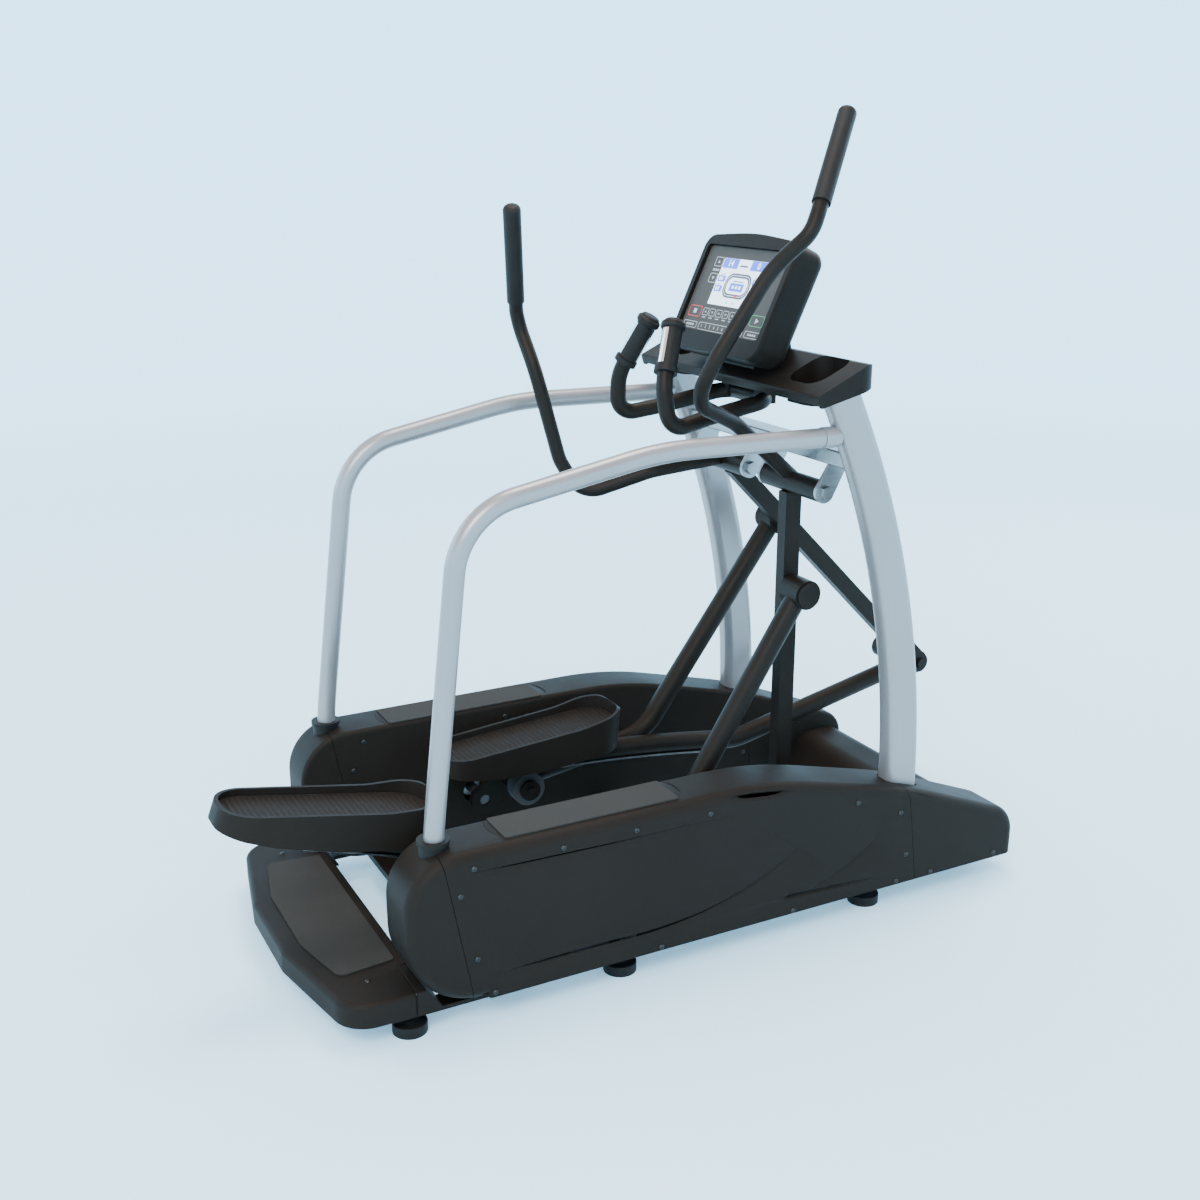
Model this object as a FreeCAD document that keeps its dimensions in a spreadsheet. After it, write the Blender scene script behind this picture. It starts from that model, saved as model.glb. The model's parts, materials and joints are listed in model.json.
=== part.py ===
import FreeCAD, Part
import math
import os
from FreeCAD import Placement, Rotation, Vector

# Elliptical cross-trainer: a steel base inside two long side covers, two curved uprights
# that carry the console and the swing-arm pivots, handrails, and on each side a linkage of
# swing arm, pedal arm, bent drawbar, track roller and crank.
#
# Row frame: +X towards the console, +Y to the user's left, +Z up, origin on the floor.
# The side view is drawn from a datum at the foot of the handrail post (datum_x in the row
# frame), so the stations below are distances in front of that post.

DIMENSIONS = {
    "datum_x": (-594.64, "handrail post foot in the row frame"),
    # side covers
    "cover_in": (276.0, "inner face of a side cover"),
    "cover_width": (127.0, "width of a side cover"),
    "cover_top": (374.0, "flat top of a side cover"),
    "cover_bottom": (55.0, "lower edge of a side cover"),
    "cover_wall": (4.0, "moulded wall of the covers"),
    "cover_seam": (1.2, "gap at the seams between the cover mouldings"),
    "pad_thickness": (3.0, "anti-slip pad on top of a cover"),
    "hood_width": (551.0, "hood between the covers"),
    # rear step
    "step_height": (50.0, "rear step moulding"),
    "step_bottom": (48.0, "underside of the rear step"),
    "step_pad_thickness": (3.0, "anti-slip pad of the rear step"),
    # frame
    "rail_y": (335.0, "centre of a base rail, upright and handrail socket"),
    "rail_width": (60.0, "base rail width"),
    "rail_height": (42.0, "base rail height"),
    "rail_z": (54.0, "underside of the base rails"),
    "cross_height": (16.0, "cross bar height"),
    "steel_wall": (3.0, "wall of the frame tubes"),
    "upright_width": (50.0, "upright across the machine"),
    "upright_corner": (18.0, "rounded corners of the upright"),
    "foot_radius": (35.0, "levelling foot disc"),
    "foot_height": (22.0, "levelling foot disc thickness"),
    "foot_stem": (6.0, "levelling foot stem radius"),
    # handrail and fixed handlebar
    "handrail_radius": (20.2, "handrail tube"),
    "handrail_wall": (2.5, "handrail tube wall"),
    "bar_radius": (17.5, "fixed handlebar tube"),
    "bar_wall": (2.5, "handlebar tube wall"),
    # swing arm
    "pivot_x": (938.0, "swing-arm pivot in front of the datum"),
    "pivot_z": (943.0, "swing-arm pivot height"),
    "swing": (45.0, "swing of an arm between its two ends of travel, degrees"),
    "arm_length": (836.0, "pivot to pedal-arm joint"),
    "knob_drop": (240.0, "pivot to drawbar joint"),
    "arm_y": (128.0, "plane of the swing arm, pedal arm and roller"),
    "arm_depth": (40.0, "swing arm tube, fore and aft"),
    "arm_width": (30.0, "swing arm tube, across"),
    "barrel_radius": (24.0, "swing-arm pivot barrel"),
    "barrel_in": (41.0, "inner end of a pivot barrel"),
    "barrel_out": (245.0, "outer end of a pivot barrel"),
    "bush_radius": (15.95, "flanged bush, running face"),
    "bush_fit": (0.05, "running clearance of every bearing"),
    "axle_radius": (10.0, "pivot axle"),
    "plate": (8.0, "bracket plate thickness"),
    "crossbar_length": (620.0, "pivot crossbar, between the uprights"),
    "handle_radius": (16.0, "moving handlebar tube"),
    "grip_radius": (19.5, "rubber grip"),
    # pedal arm
    "tube_radius": (23.0, "pedal-arm tube"),
    "tube_wall": (3.0, "pedal-arm tube wall"),
    "joint_radius": (30.0, "pedal-arm barrel at the swing arm's foot"),
    "joint_width": (50.0, "pedal-arm barrel width"),
    "boss_out": (258.0, "outer end of the boss at the swing arm's foot"),
    "track_width": (34.0, "steel track under the pedal arm"),
    "track_thickness": (4.0, "steel track thickness"),
    "pedal_width": (165.0, "foot pedal width"),
    "tread_thickness": (5.0, "foot pedal tread insert"),
    # crank, roller and drawbar
    "crank_x": (339.0, "crank axis in front of the datum"),
    "crank_z": (166.0, "crank axis height"),
    "crank_radius": (88.0, "crank throw"),
    "crank_phase": (220.0, "right-hand pin angle at rest, from +X towards +Z, degrees"),
    "crank_y": (223.5, "centre plane of a crank arm"),
    "crank_thickness": (18.0, "crank arm thickness"),
    "shaft_radius": (12.5, "crank shaft"),
    "roller_radius": (39.2, "track roller"),
    "roller_width": (38.0, "track roller width"),
    "pin_radius": (12.0, "crank pin that carries the roller"),
    "drawbar_radius": (24.0, "drawbar tube"),
    "drawbar_y": (178.0, "plane of the drawbar"),
    "eye_radius": (33.0, "drawbar eye at the swing arm"),
    "lower_eye": (32.0, "drawbar eye at the crank pin"),
    "eye_width": (66.0, "upper eye, across"),
    # belt drive
    "belt_y": (384.0, "plane of the belt drive"),
    "belt_width": (14.0, "ribbed belt width"),
    "belt_thickness": (5.0, "ribbed belt thickness"),
    "pulley_width": (16.0, "pulley rim width"),
    "crank_pulley": (100.0, "crank pulley radius"),
    "drive_pulley": (32.0, "pulley of the cross shaft"),
    "fly_pulley": (25.0, "flywheel pulley radius"),
    "drive_x": (1332.0, "cross shaft in front of the datum"),
    "drive_z": (110.0, "cross shaft height"),
    "drive_shaft_radius": (10.0, "cross shaft"),
    "flywheel_x": (760.0, "flywheel in front of the datum"),
    "flywheel_radius": (108.0, "flywheel"),
    "flywheel_width": (18.0, "flywheel rim width"),
    # console
    "console_tilt": (24.8, "console leans back from upright, degrees"),
    "console_half": (180.0, "half width of the console housing"),
    "panel_half": (161.0, "half width of the console panel"),
    "panel_thickness": (2.8, "key panel thickness"),
    "glass_thickness": (1.4, "display window thickness"),
    "tray_half": (360.0, "half width of the tray"),
}

doc = FreeCAD.newDocument("elliptical_trainer")
sheet = doc.addObject("Spreadsheet::Sheet", "dimensions")
for row, (alias, (value, note)) in enumerate(DIMENSIONS.items(), start=1):
    sheet.set("A%d" % row, note)
    sheet.set("B%d" % row, str(value))
    sheet.setAlias("B%d" % row, alias)
doc.recompute()

D = {alias: float(sheet.get(alias)) for alias in DIMENSIONS}
DX = D["datum_x"]
SIDES = {"right": -1, "left": 1}
parts = {}


# ---------------------------------------------------------------- helpers

def keep(obj, label, placement=None):
    """Register obj as the sub-part called label."""
    obj.Label = label
    if placement is not None:
        obj.Placement = placement
    parts[label] = obj
    return obj


def feature(label, shape, placement=None):
    """A sub-part whose shape is made directly with Part's functions."""
    obj = doc.addObject("Part::Feature", label)
    obj.Shape = shape
    return keep(obj, label, placement)


def rounded(corners, closed=True):
    """Lines and tangent arcs through corners (point, radius), as Part geometry."""
    points = [Vector(c[0]) for c in corners]
    radii = [c[1] for c in corners]
    count = len(points)
    geometry = []
    ends = []
    for i in range(count):
        here = points[i]
        if not closed and i in (0, count - 1) or radii[i] == 0:
            ends.append((here, here, None))
            continue
        to_prev = (points[i - 1] - here).normalize()
        to_next = (points[(i + 1) % count] - here).normalize()
        turn = math.pi - to_prev.getAngle(to_next)
        reach = radii[i] * math.tan(turn / 2)
        bisector = (to_prev + to_next).normalize()
        middle = here + bisector * (radii[i] / math.cos(turn / 2) - radii[i])
        ends.append((here + to_prev * reach, here + to_next * reach, middle))
    for i in range(count):
        start, finish, middle = ends[i]
        if middle is not None:
            geometry.append(Part.Arc(start, middle, finish))
        if i == count - 1 and not closed:
            break
        following = ends[(i + 1) % count][0]
        if finish.distanceToPoint(following) > 1e-6:
            geometry.append(Part.LineSegment(finish, following))
    return geometry


def flat(corners):
    """Corners (x, y, radius) as rounded() wants them."""
    return [(Vector(x, y, 0), radius) for x, y, radius in corners]


def path_wire(corners):
    """An open wire of straight runs joined by tangent arcs."""
    return Part.Wire([edge.toShape() for edge in rounded(corners, closed=False)])


def rod(wire, radius):
    """A round bar along wire."""
    edge = wire.Edges[0]
    start = edge.valueAt(edge.FirstParameter)
    direction = edge.tangentAt(edge.FirstParameter)
    circle = Part.Wire(Part.Circle(start, direction, radius).toShape())
    return wire.makePipeShell([circle], True, False)


def tube(wire, radius, wall):
    """A round tube along wire."""
    return rod(wire, radius).cut(rod(wire, radius - wall))


def cylinder_y(x, z, radius, y_low, y_high):
    return Part.makeCylinder(radius, y_high - y_low, Vector(x, y_low, z), Vector(0, 1, 0))


def ring_y(x, z, outer, inner, y_low, y_high):
    return cylinder_y(x, z, outer, y_low, y_high).cut(cylinder_y(x, z, inner, y_low, y_high))


def span(side, near, far):
    """The y interval between two distances from the middle plane on one side."""
    return (near, far) if side > 0 else (-far, -near)


def box(x_low, x_high, y_low, y_high, z_low, z_high):
    return Part.makeBox(x_high - x_low, y_high - y_low, z_high - z_low, Vector(x_low, y_low, z_low))


def tube_box(x_low, x_high, y_low, y_high, z_low, z_high, along):
    """A rectangular tube with open ends along one axis ('x', 'y' or 'z')."""
    wall = D["steel_wall"]
    grow = {axis: (1 if axis == along else -wall) for axis in "xyz"}
    inner = box(x_low - grow["x"], x_high + grow["x"], y_low - grow["y"], y_high + grow["y"],
                z_low - grow["z"], z_high + grow["z"])
    return box(x_low, x_high, y_low, y_high, z_low, z_high).cut(inner)


def prism_y(corners, y_low, y_high):
    """The side-view outline corners (x, z, radius), extruded from y_low to y_high."""
    outline = rounded([(Vector(x, y_low, z), radius) for x, z, radius in corners])
    face = Part.Face(Part.Wire([edge.toShape() for edge in outline]))
    return face.extrude(Vector(0, y_high - y_low, 0))


def prism_z(corners, z_low, z_high):
    """The plan-view outline corners (x, y, radius), extruded from z_low to z_high."""
    outline = rounded([(Vector(x, y, z_low), radius) for x, y, radius in corners])
    face = Part.Face(Part.Wire([edge.toShape() for edge in outline]))
    return face.extrude(Vector(0, 0, z_high - z_low))


def origin_plane(body, role):
    return [plane for plane in body.Origin.OriginFeatures if plane.Role == role][0]


def padded_body(label, outline, role, alias, placement):
    """A PartDesign body: outline padded symmetrically by the sheet's alias."""
    body = doc.addObject("PartDesign::Body", label)
    sketch = body.newObject("Sketcher::SketchObject", label + "_sketch")
    sketch.AttachmentSupport = (origin_plane(body, role), "")
    sketch.MapMode = "FlatFace"
    for edge in outline:
        sketch.addGeometry(edge, False)
    pad = body.newObject("PartDesign::Pad", label + "_pad")
    pad.Profile = sketch
    pad.Midplane = True
    pad.setExpression("Length", "<<dimensions>>." + alias)
    body.Tip = pad
    return keep(body, label, placement)


def pocketed(body, label, outline, role, offset=0.0):
    """Cut outline right through the body."""
    sketch = body.newObject("Sketcher::SketchObject", label + "_sketch")
    sketch.AttachmentSupport = (origin_plane(body, role), "")
    sketch.MapMode = "FlatFace"
    sketch.AttachmentOffset = Placement(Vector(0, 0, offset), Rotation())
    for edge in outline:
        sketch.addGeometry(edge, False)
    pocket = body.newObject("PartDesign::Pocket", label)
    pocket.Profile = sketch
    pocket.Type = "ThroughAll"
    pocket.Midplane = True
    body.Tip = pocket
    return pocket


def circle_edge(x, y, radius):
    return Part.Circle(Vector(x, y, 0), Vector(0, 0, 1), radius)


def turned(angle, centre):
    """A turn by angle (from +X towards +Z, degrees) that moves the origin to centre."""
    return Placement(centre, Rotation(Vector(0, -1, 0), angle))


# ---------------------------------------------------------------- linkage geometry

def on_circle(centre, radius, angle):
    """A point of the side view at angle from +X towards +Z, degrees."""
    turn = math.radians(angle)
    return (centre[0] + radius * math.cos(turn), centre[1] + radius * math.sin(turn))


def direction_of(start, finish):
    return math.degrees(math.atan2(finish[1] - start[1], finish[0] - start[0]))


PIVOT = (DX + D["pivot_x"], D["pivot_z"])
CRANK = (DX + D["crank_x"], D["crank_z"])

# The right arm hangs straight down at rest and the left one stands at the far end of the
# swing. Each crank pin is in line with its drawbar there.
REST_SWING = {"right": 0.0, "left": D["swing"]}
REST_CRANK = {"right": D["crank_phase"], "left": D["crank_phase"] - 180.0}
foot_of = {}
knob_of = {}
pin_of = {}
for name in SIDES:
    hang = REST_SWING[name] - 90.0
    foot_of[name] = on_circle(PIVOT, D["arm_length"], hang)
    knob_of[name] = on_circle(PIVOT, D["knob_drop"], hang)
    pin_of[name] = on_circle(CRANK, D["crank_radius"], REST_CRANK[name])
drawbar_angle = {name: direction_of(knob_of[name], pin_of[name]) for name in SIDES}
chord = math.dist(knob_of["right"], pin_of["right"])

# Pedal arm, drawn back from its joint: u runs rearwards, w upwards. Its track is an arc of
# large radius, because the roller's path seen from the arm is one.
TRACK_DROP = 190.4
TRACK_RISE = 7.3
TRACK_ENDS = (626.0, 1106.0)
half_run = (TRACK_ENDS[1] - TRACK_ENDS[0]) / 2
track_mid = sum(TRACK_ENDS) / 2
track_radius = (half_run ** 2 + TRACK_RISE ** 2) / (2 * TRACK_RISE)
track_centre = -TRACK_DROP + TRACK_RISE - track_radius
TRACK_GAP = 0.3


def pedal_slope(name):
    """Slope at which the track lies on the roller of that side."""
    foot, pin = foot_of[name], pin_of[name]
    depth = TRACK_DROP + D["roller_radius"] + TRACK_GAP
    return math.degrees(math.asin(depth / math.dist(foot, pin))
                        - math.atan2(foot[1] - pin[1], foot[0] - pin[0]))


def arch(u, offset):
    """Height w at u of the arc that lies offset above the track's running face."""
    return track_centre + math.sqrt((track_radius + offset) ** 2 - (u - track_mid) ** 2)


def arch_points(u_start, u_end, offset, y=0.0):
    middle = (u_start + u_end) / 2
    return [Vector(-u, y, arch(u, offset)) for u in (u_start, middle, u_end)]


def pedal_placement(name):
    """Pedal-arm pieces are drawn at y = 0 with the joint at the origin."""
    foot = foot_of[name]
    side = SIDES[name]
    return turned(-pedal_slope(name), Vector(foot[0], side * D["arm_y"], foot[1]))


def arm_placement(name):
    """Swing-arm pieces are drawn hanging down from the pivot at the origin."""
    return turned(REST_SWING[name], Vector(PIVOT[0], 0, PIVOT[1]))


def drawbar_placement(name):
    """Drawbar pieces are drawn from the knob along -X to the crank pin."""
    knob = knob_of[name]
    return turned(drawbar_angle[name] + 180.0, Vector(knob[0], 0, knob[1]))


# ---------------------------------------------------------------- base frame

RAIL_TOP = D["rail_z"] + D["rail_height"]
CROSS_STATIONS = (110.0, 700.0, 1340.0)
CROSS_HALF = 35.0
TONGUE_Y = 350.0
CROSS_LOW = D["rail_z"] - D["cross_height"]


def bearing_tower(x, z, side, radius):
    """Two plates on a rail with a bearing seat at (x, z)."""
    plates = []
    for y in (307.0, 353.0):
        y_low, y_high = span(side, y, y + D["plate"])
        plate = prism_y([(x - 45, RAIL_TOP, 0), (x + 45, RAIL_TOP, 0),
                         (x + 34, z + 34, 30), (x - 34, z + 34, 30)], y_low, y_high)
        plates.append(plate.cut(cylinder_y(x, z, radius, y_low - 1, y_high + 1)))
    return plates


def drive_height():
    """Height of the flywheel axis, so that its pulley runs against the belt's upper run."""
    x_1, z_1, r_1 = D["crank_x"], D["crank_z"], D["crank_pulley"]
    x_2, z_2, r_2 = D["drive_x"], D["drive_z"], D["drive_pulley"]
    slope = math.atan2(z_2 - z_1, x_2 - x_1)
    lean = math.asin((r_2 - r_1) / math.dist((x_1, z_1), (x_2, z_2)))
    angle = slope + lean
    run_z = z_1 + r_1 / math.cos(angle) + (D["flywheel_x"] - x_1) * math.tan(angle)
    return run_z - D["fly_pulley"] / math.cos(angle)


FLYWHEEL_Z = drive_height()
BEARING_SEAT = 24.0
SMALL_SEAT = 18.0


def base_frame():
    """Two rails inside the covers, flat cross bars, bearing towers and rear tongues."""
    half = D["rail_width"] / 2
    rail_far = D["rail_y"] + half
    solids = []
    seats = []
    for side in SIDES.values():
        y_low, y_high = side * D["rail_y"] - half, side * D["rail_y"] + half
        rail = tube_box(DX - 26, DX + 1385, y_low, y_high, D["rail_z"], RAIL_TOP, "x")
        # the rear end follows the round end of the cover
        trim = box(DX - 60, DX + 70, y_low - 1, y_high + 1, 40, 200).cut(
            cylinder_y(DX + 70, 205, 150 - D["cover_wall"] - 0.5, y_low - 2, y_high + 2))
        solids.append(rail.cut(trim))
        for x, z, seat in ((CRANK[0], CRANK[1], BEARING_SEAT),
                           (DX + D["drive_x"], D["drive_z"], SMALL_SEAT)):
            solids += bearing_tower(x, z, side, seat)
            seats.append(cylinder_y(x, z, seat, *span(side, 300, 370)))
        tongue = box(DX - 108, DX + CROSS_STATIONS[0], side * TONGUE_Y - 22, side * TONGUE_Y + 22,
                     CROSS_LOW, CROSS_LOW + 9)
        solids.append(tongue)
    solids += bearing_tower(DX + D["flywheel_x"], FLYWHEEL_Z, SIDES["right"], SMALL_SEAT)
    for station in CROSS_STATIONS:
        solids.append(box(DX + station - CROSS_HALF, DX + station + CROSS_HALF, -rail_far, rail_far,
                          CROSS_LOW, D["rail_z"]))
    frame = solids[0].multiFuse(solids[1:])
    for seat in seats:
        frame = frame.cut(seat)
    feature("base_frame", frame.removeSplitter())


FEET = [(-66.0, TONGUE_Y, CROSS_LOW), (400.0, 345.0, D["rail_z"]), (1030.0, 345.0, D["rail_z"])]


def levelling_feet():
    """Six feet: a rubber-faced disc, a jam nut and a threaded stem up to the frame."""
    solids = []
    for station, y, top in FEET:
        for side in SIDES.values():
            base = Vector(DX + station, side * y, 0)
            disc = Part.makeCylinder(D["foot_radius"], D["foot_height"], base)
            disc = disc.makeFillet(3.0, [disc.Edges[0]])
            boss = Part.makeCone(20.0, 9.0, 5.0, base + Vector(0, 0, D["foot_height"] - 0.5))
            stem = Part.makeCylinder(D["foot_stem"], top - 1.0, base + Vector(0, 0, 1.0))
            solids.append(disc.multiFuse([boss, stem]).removeSplitter())
    feature("levelling_feet", Part.makeCompound(solids))


# ---------------------------------------------------------------- covers

# Side-view outline of a side cover: round rear end, flat top, long fall to the nose.
COVER_OUTLINE = [(-80.0, 55.0, 150.0), (1423.0, 55.0, 0.0), (1423.0, 157.0, 70.0),
                 (1120.0, 278.0, 1200.0), (745.0, 374.0, 900.0), (-80.0, 374.0, 110.0)]
REAR_SEAM = ((-12.0, 400.0), (54.0, 40.0))
FRONT_SEAM = ((1081.0, 400.0), (1131.0, 40.0))
OUTER_CORNER = 26.0
INNER_CORNER = 10.0
SKIRT_START = 56.0


def cover_outline(inset):
    """The outline moved inwards by inset."""
    moved = []
    for x, z, radius in COVER_OUTLINE:
        x_in = x + inset if x < 0 else (x - inset if x > 1400 else x)
        z_in = z + inset if z < 60 else z - inset
        moved.append((DX + x_in, z_in, radius and radius - inset))
    return moved


def crowned(shape, y_edge, radius):
    """Round the upper edge of a cover that lies in the plane y = y_edge."""
    edges = []
    for edge in shape.Edges:
        bounds = edge.BoundBox
        in_plane = abs(bounds.YMin - y_edge) < 1e-3 and abs(bounds.YMax - y_edge) < 1e-3
        if in_plane and bounds.ZMax > D["cover_bottom"] + 8.0:
            edges.append(edge)
    return shape.makeFillet(radius, edges)


def cover_body(side, inset):
    """A side cover as a solid, smaller by inset all round."""
    near = D["cover_in"] + inset
    far = D["cover_in"] + D["cover_width"] - inset
    solid = prism_y(cover_outline(inset), *span(side, near, far))
    solid = crowned(solid, side * far, OUTER_CORNER - inset)
    solid = crowned(solid, side * near, INNER_CORNER - inset)
    # below the crown the outer face runs straight down to a square lower edge
    inner_y, outer_y = side * (D["cover_in"] + 20.0), side * far
    start = DX + SKIRT_START + inset
    nose = DX + 1423.0 - inset
    skirt = prism_z([(start, inner_y, 0), (nose, inner_y, 0), (nose, outer_y, OUTER_CORNER - inset),
                     (start + 30.0, outer_y, 0), (start, outer_y - side * OUTER_CORNER, 0)],
                    D["cover_bottom"] + inset, D["cover_bottom"] + 30.0)
    return solid.fuse(skirt).removeSplitter()


def cover_shell(side):
    """A side cover hollowed to its wall and open underneath."""
    wall = D["cover_wall"]
    mouth = span(side, D["cover_in"] + wall, D["cover_in"] + D["cover_width"] - wall)
    opening = box(DX + 69, DX + 1423 - wall, *mouth, 40, 75)
    return cover_body(side, 0.0).cut(cover_body(side, wall)).cut(opening)


def seam_block(low, high, side):
    """A block between two slanting seams; None stands for the end of the cover."""
    gap = D["cover_seam"] / 2
    left = [(DX - 400, 450), (DX - 400, 0)] if low is None else [
        (DX + low[0][0] + gap, low[0][1]), (DX + low[1][0] + gap, low[1][1])]
    right = [(DX + 1700, 0), (DX + 1700, 450)] if high is None else [
        (DX + high[1][0] - gap, high[1][1]), (DX + high[0][0] - gap, high[0][1])]
    corners = [(x, z, 0) for x, z in left + right]
    return prism_y(corners, *span(side, D["cover_in"] - 20, 450.0))


def cover_openings(side):
    """Holes for the handrail post, upright, crank shaft and cross shaft."""
    y = side * D["rail_y"]
    near = D["cover_in"]
    post = Part.makeCylinder(D["handrail_radius"] + 4.0, 400, Vector(DX, side * 338.0, 97))
    upright = prism_z([(DX + 1070, y - 27, 18), (DX + 1160, y - 27, 18),
                       (DX + 1160, y + 27, 18), (DX + 1070, y + 27, 18)], 100, 420)
    wall_y = span(side, near - 5, near + D["cover_wall"] + 5)
    shaft = cylinder_y(CRANK[0], CRANK[1], 30.0, *wall_y)
    cross = cylinder_y(DX + D["drive_x"], D["drive_z"], 16.0, *wall_y)
    return post.multiFuse([upright, shaft, cross])


def side_covers():
    for name, side in SIDES.items():
        shell = cover_shell(side).cut(cover_openings(side))
        pieces = {"cover_rear_": (None, REAR_SEAM), "cover_main_": (REAR_SEAM, FRONT_SEAM),
                  "cover_front_": (FRONT_SEAM, None)}
        for prefix, (low, high) in pieces.items():
            feature(prefix + name, shell.common(seam_block(low, high, side)))


def step_pads():
    """Anti-slip pads on the flat of the covers where the user steps across."""
    z = D["cover_top"] + 0.2
    pads = []
    for side in SIDES.values():
        y = side * 327.5
        pads.append(prism_z([(DX + 133, y - 47, 5), (DX + 521, y - 47, 5), (DX + 521, y + 47, 5),
                             (DX + 133, y + 47, 5)], z, z + D["pad_thickness"]))
    feature("step_pads", Part.makeCompound(pads))


HOOD_OUTLINE = [(1236.0, 57.0, 0), (1290.0, 136.0, 55.0), (1421.0, 136.0, 48.0), (1421.0, 57.0, 0)]


def front_hood():
    """Low hood between the covers, over the cross shaft; open underneath."""
    wall = D["cover_wall"]
    body = padded_body("front_hood", rounded(flat(HOOD_OUTLINE)), "XZ_Plane", "hood_width",
                       Placement(Vector(DX, 0, 0), Rotation()))
    inner = [(HOOD_OUTLINE[0][0] + 2.0 * wall, 50.0, 0), (1292.0, 136.0 - wall, 51.0),
             (1421.0 - wall, 136.0 - wall, 44.0), (1421.0 - wall, 50.0, 0)]
    pocketed(body, "hood_hollow", rounded(flat(inner)), "XZ_Plane")


STEP_OUTLINE = [(-34.0, 268.0, 4.0), (-52.0, 272.0, 4.0), (-52.0, 384.0, 18.0),
                (-196.0, 384.0, 70.0), (-248.0, 110.0, 60.0)]
STEP_PAD = [(-58.0, 250.0, 8.0), (-176.0, 262.0, 22.0), (-208.0, 112.0, 30.0)]


def mirrored(half):
    """A closed outline from its +y half, both halves going round the same way."""
    return half + [(x, -y, radius) for x, y, radius in reversed(half)]


def rear_step():
    wall = 5.0
    low, high = D["step_bottom"], D["step_bottom"] + D["step_height"]
    outline = [(DX + x, y, r) for x, y, r in mirrored(STEP_OUTLINE)]
    outer = prism_z(outline, low, high)
    rim = [edge for edge in outer.Edges
           if edge.BoundBox.ZMin > high - 0.01 and edge.BoundBox.XMax < DX - 60]
    outer = outer.makeFillet(12.0, rim)
    hollow = [(-40.0, 262.0, 0.0), (-58.0, 266.0, 0.0), (-58.0, 378.0, 12.0),
              (-192.0, 378.0, 64.0), (-241.0, 109.0, 54.0)]
    inner = prism_z([(DX + x, y, r) for x, y, r in mirrored(hollow)], low - 10, high - wall)
    step = outer.cut(inner)
    # on each side the skirt runs on under the round end of the cover
    for side in SIDES.values():
        skirt = prism_y([(DX - 60, low, 0), (DX - 6, low, 0), (DX - 6, low + 3, 0),
                         (DX - 41, high, 0), (DX - 60, high, 0)], *span(side, 277.0, 384.0))
        cavity = prism_y([(DX - 75, low - 10, 0), (DX, low - 10, 0), (DX - 12, low + 4, 0),
                          (DX - 46, high - wall, 0), (DX - 75, high - wall, 0)], *span(side, 282.0, 379.0))
        step = step.fuse(skirt).cut(cavity)
    feature("rear_step", step.removeSplitter())
    pad = rounded(flat(mirrored(STEP_PAD)))
    z = high + 0.2 + D["step_pad_thickness"] / 2
    padded_body("rear_step_pad", pad, "XY_Plane", "step_pad_thickness",
                Placement(Vector(DX, 0, z), Rotation()))


# ---------------------------------------------------------------- uprights and rails

def tray_floor(x):
    """Height of the tray's underside at distance x in front of the datum."""
    return 1143.0 + (x - 840.0) * 0.242


def upright_band(inset):
    """The upright's solid band in the middle plane, smaller by inset all round."""
    rear = [Vector(DX + x + inset, 0, z) for x, z in ((1072, 300), (1018, 742), (868, tray_floor(868)))]
    front = [Vector(DX + x - inset, 0, z) for x, z in ((945, tray_floor(945)), (1100, 742), (1156, 300))]
    foot_rear = Vector(rear[0].x, 0, RAIL_TOP)
    foot_front = Vector(front[2].x, 0, RAIL_TOP)
    edges = [Part.LineSegment(foot_rear, rear[0]), Part.Arc(*rear), Part.LineSegment(rear[2], front[0]),
             Part.Arc(*front), Part.LineSegment(front[2], foot_front),
             Part.LineSegment(foot_front, foot_rear)]
    width = D["upright_width"] - 2 * inset
    band = Part.Face(Part.Wire([edge.toShape() for edge in edges])).extrude(Vector(0, width, 0))
    band.translate(Vector(0, -width / 2, 0))
    long_edges = [edge for edge in band.Edges
                  if edge.BoundBox.YLength < 0.01 and edge.BoundBox.ZLength > 60]
    return band.makeFillet(D["upright_corner"] - inset, long_edges)


def upright_place(side):
    return Placement(Vector(0, side * D["rail_y"], 0), Rotation())


def uprights():
    """Curved uprights of rounded rectangular tube, leaning back towards the console."""
    tube_shape = upright_band(0.0).cut(upright_band(D["steel_wall"]))
    for name, side in SIDES.items():
        feature("upright_" + name, tube_shape, upright_place(side))


def handrails():
    """Handrail tube: up from the base rail, forward over a large bend, into the upright."""
    collars = []
    sleeves = []
    for name, side in SIDES.items():
        upright = upright_band(0.0)
        upright.Placement = upright_place(side)
        start = Vector(DX, side * 338.0, RAIL_TOP)
        post = Vector(DX + 77, side * 327.0, 1008.0)
        kink = Vector(DX + 490, side * 333.0, 1086.0)
        finish = Vector(DX + 903, side * 335.0, 1080.0)
        foot = Vector(DX, side * 338.0, 385.0)
        wire = path_wire([(start, 0), (foot, 900.0), (post, 150.0), (kink, 700.0), (finish, 0)])
        rail = tube(wire, D["handrail_radius"], D["handrail_wall"]).cut(upright)
        feature("handrail_" + name, max(rail.Solids, key=lambda solid: solid.Volume))
        # two-step gasket that follows the cover where the post leaves it
        top = D["cover_top"]
        steps = [Part.makeCylinder(radius, high - low, Vector(DX, side * 338.0, low))
                 for low, high, radius in ((top - 40.0, top + 8.0, 29.0), (top + 7.0, top + 15.0, 32.0))]
        gasket = steps[0].fuse(steps[1]).cut(cover_body(side, -0.3))
        collars.append(gasket.cut(rod(wire, D["handrail_radius"] + 0.35)))
        forward = (finish - kink).normalize()
        base = finish - forward * 40.0
        sleeve = Part.makeCylinder(D["handrail_radius"] + 1.6, 33.0, base, forward)
        bore = Part.makeCylinder(D["handrail_radius"] + 0.35, 60.0, base - forward * 5, forward)
        sleeves.append(sleeve.cut(bore).cut(upright))
    feature("handrail_collars", Part.makeCompound(collars))
    feature("handrail_sleeves", Part.makeCompound(sleeves))


# ---------------------------------------------------------------- pivot carrier

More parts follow.
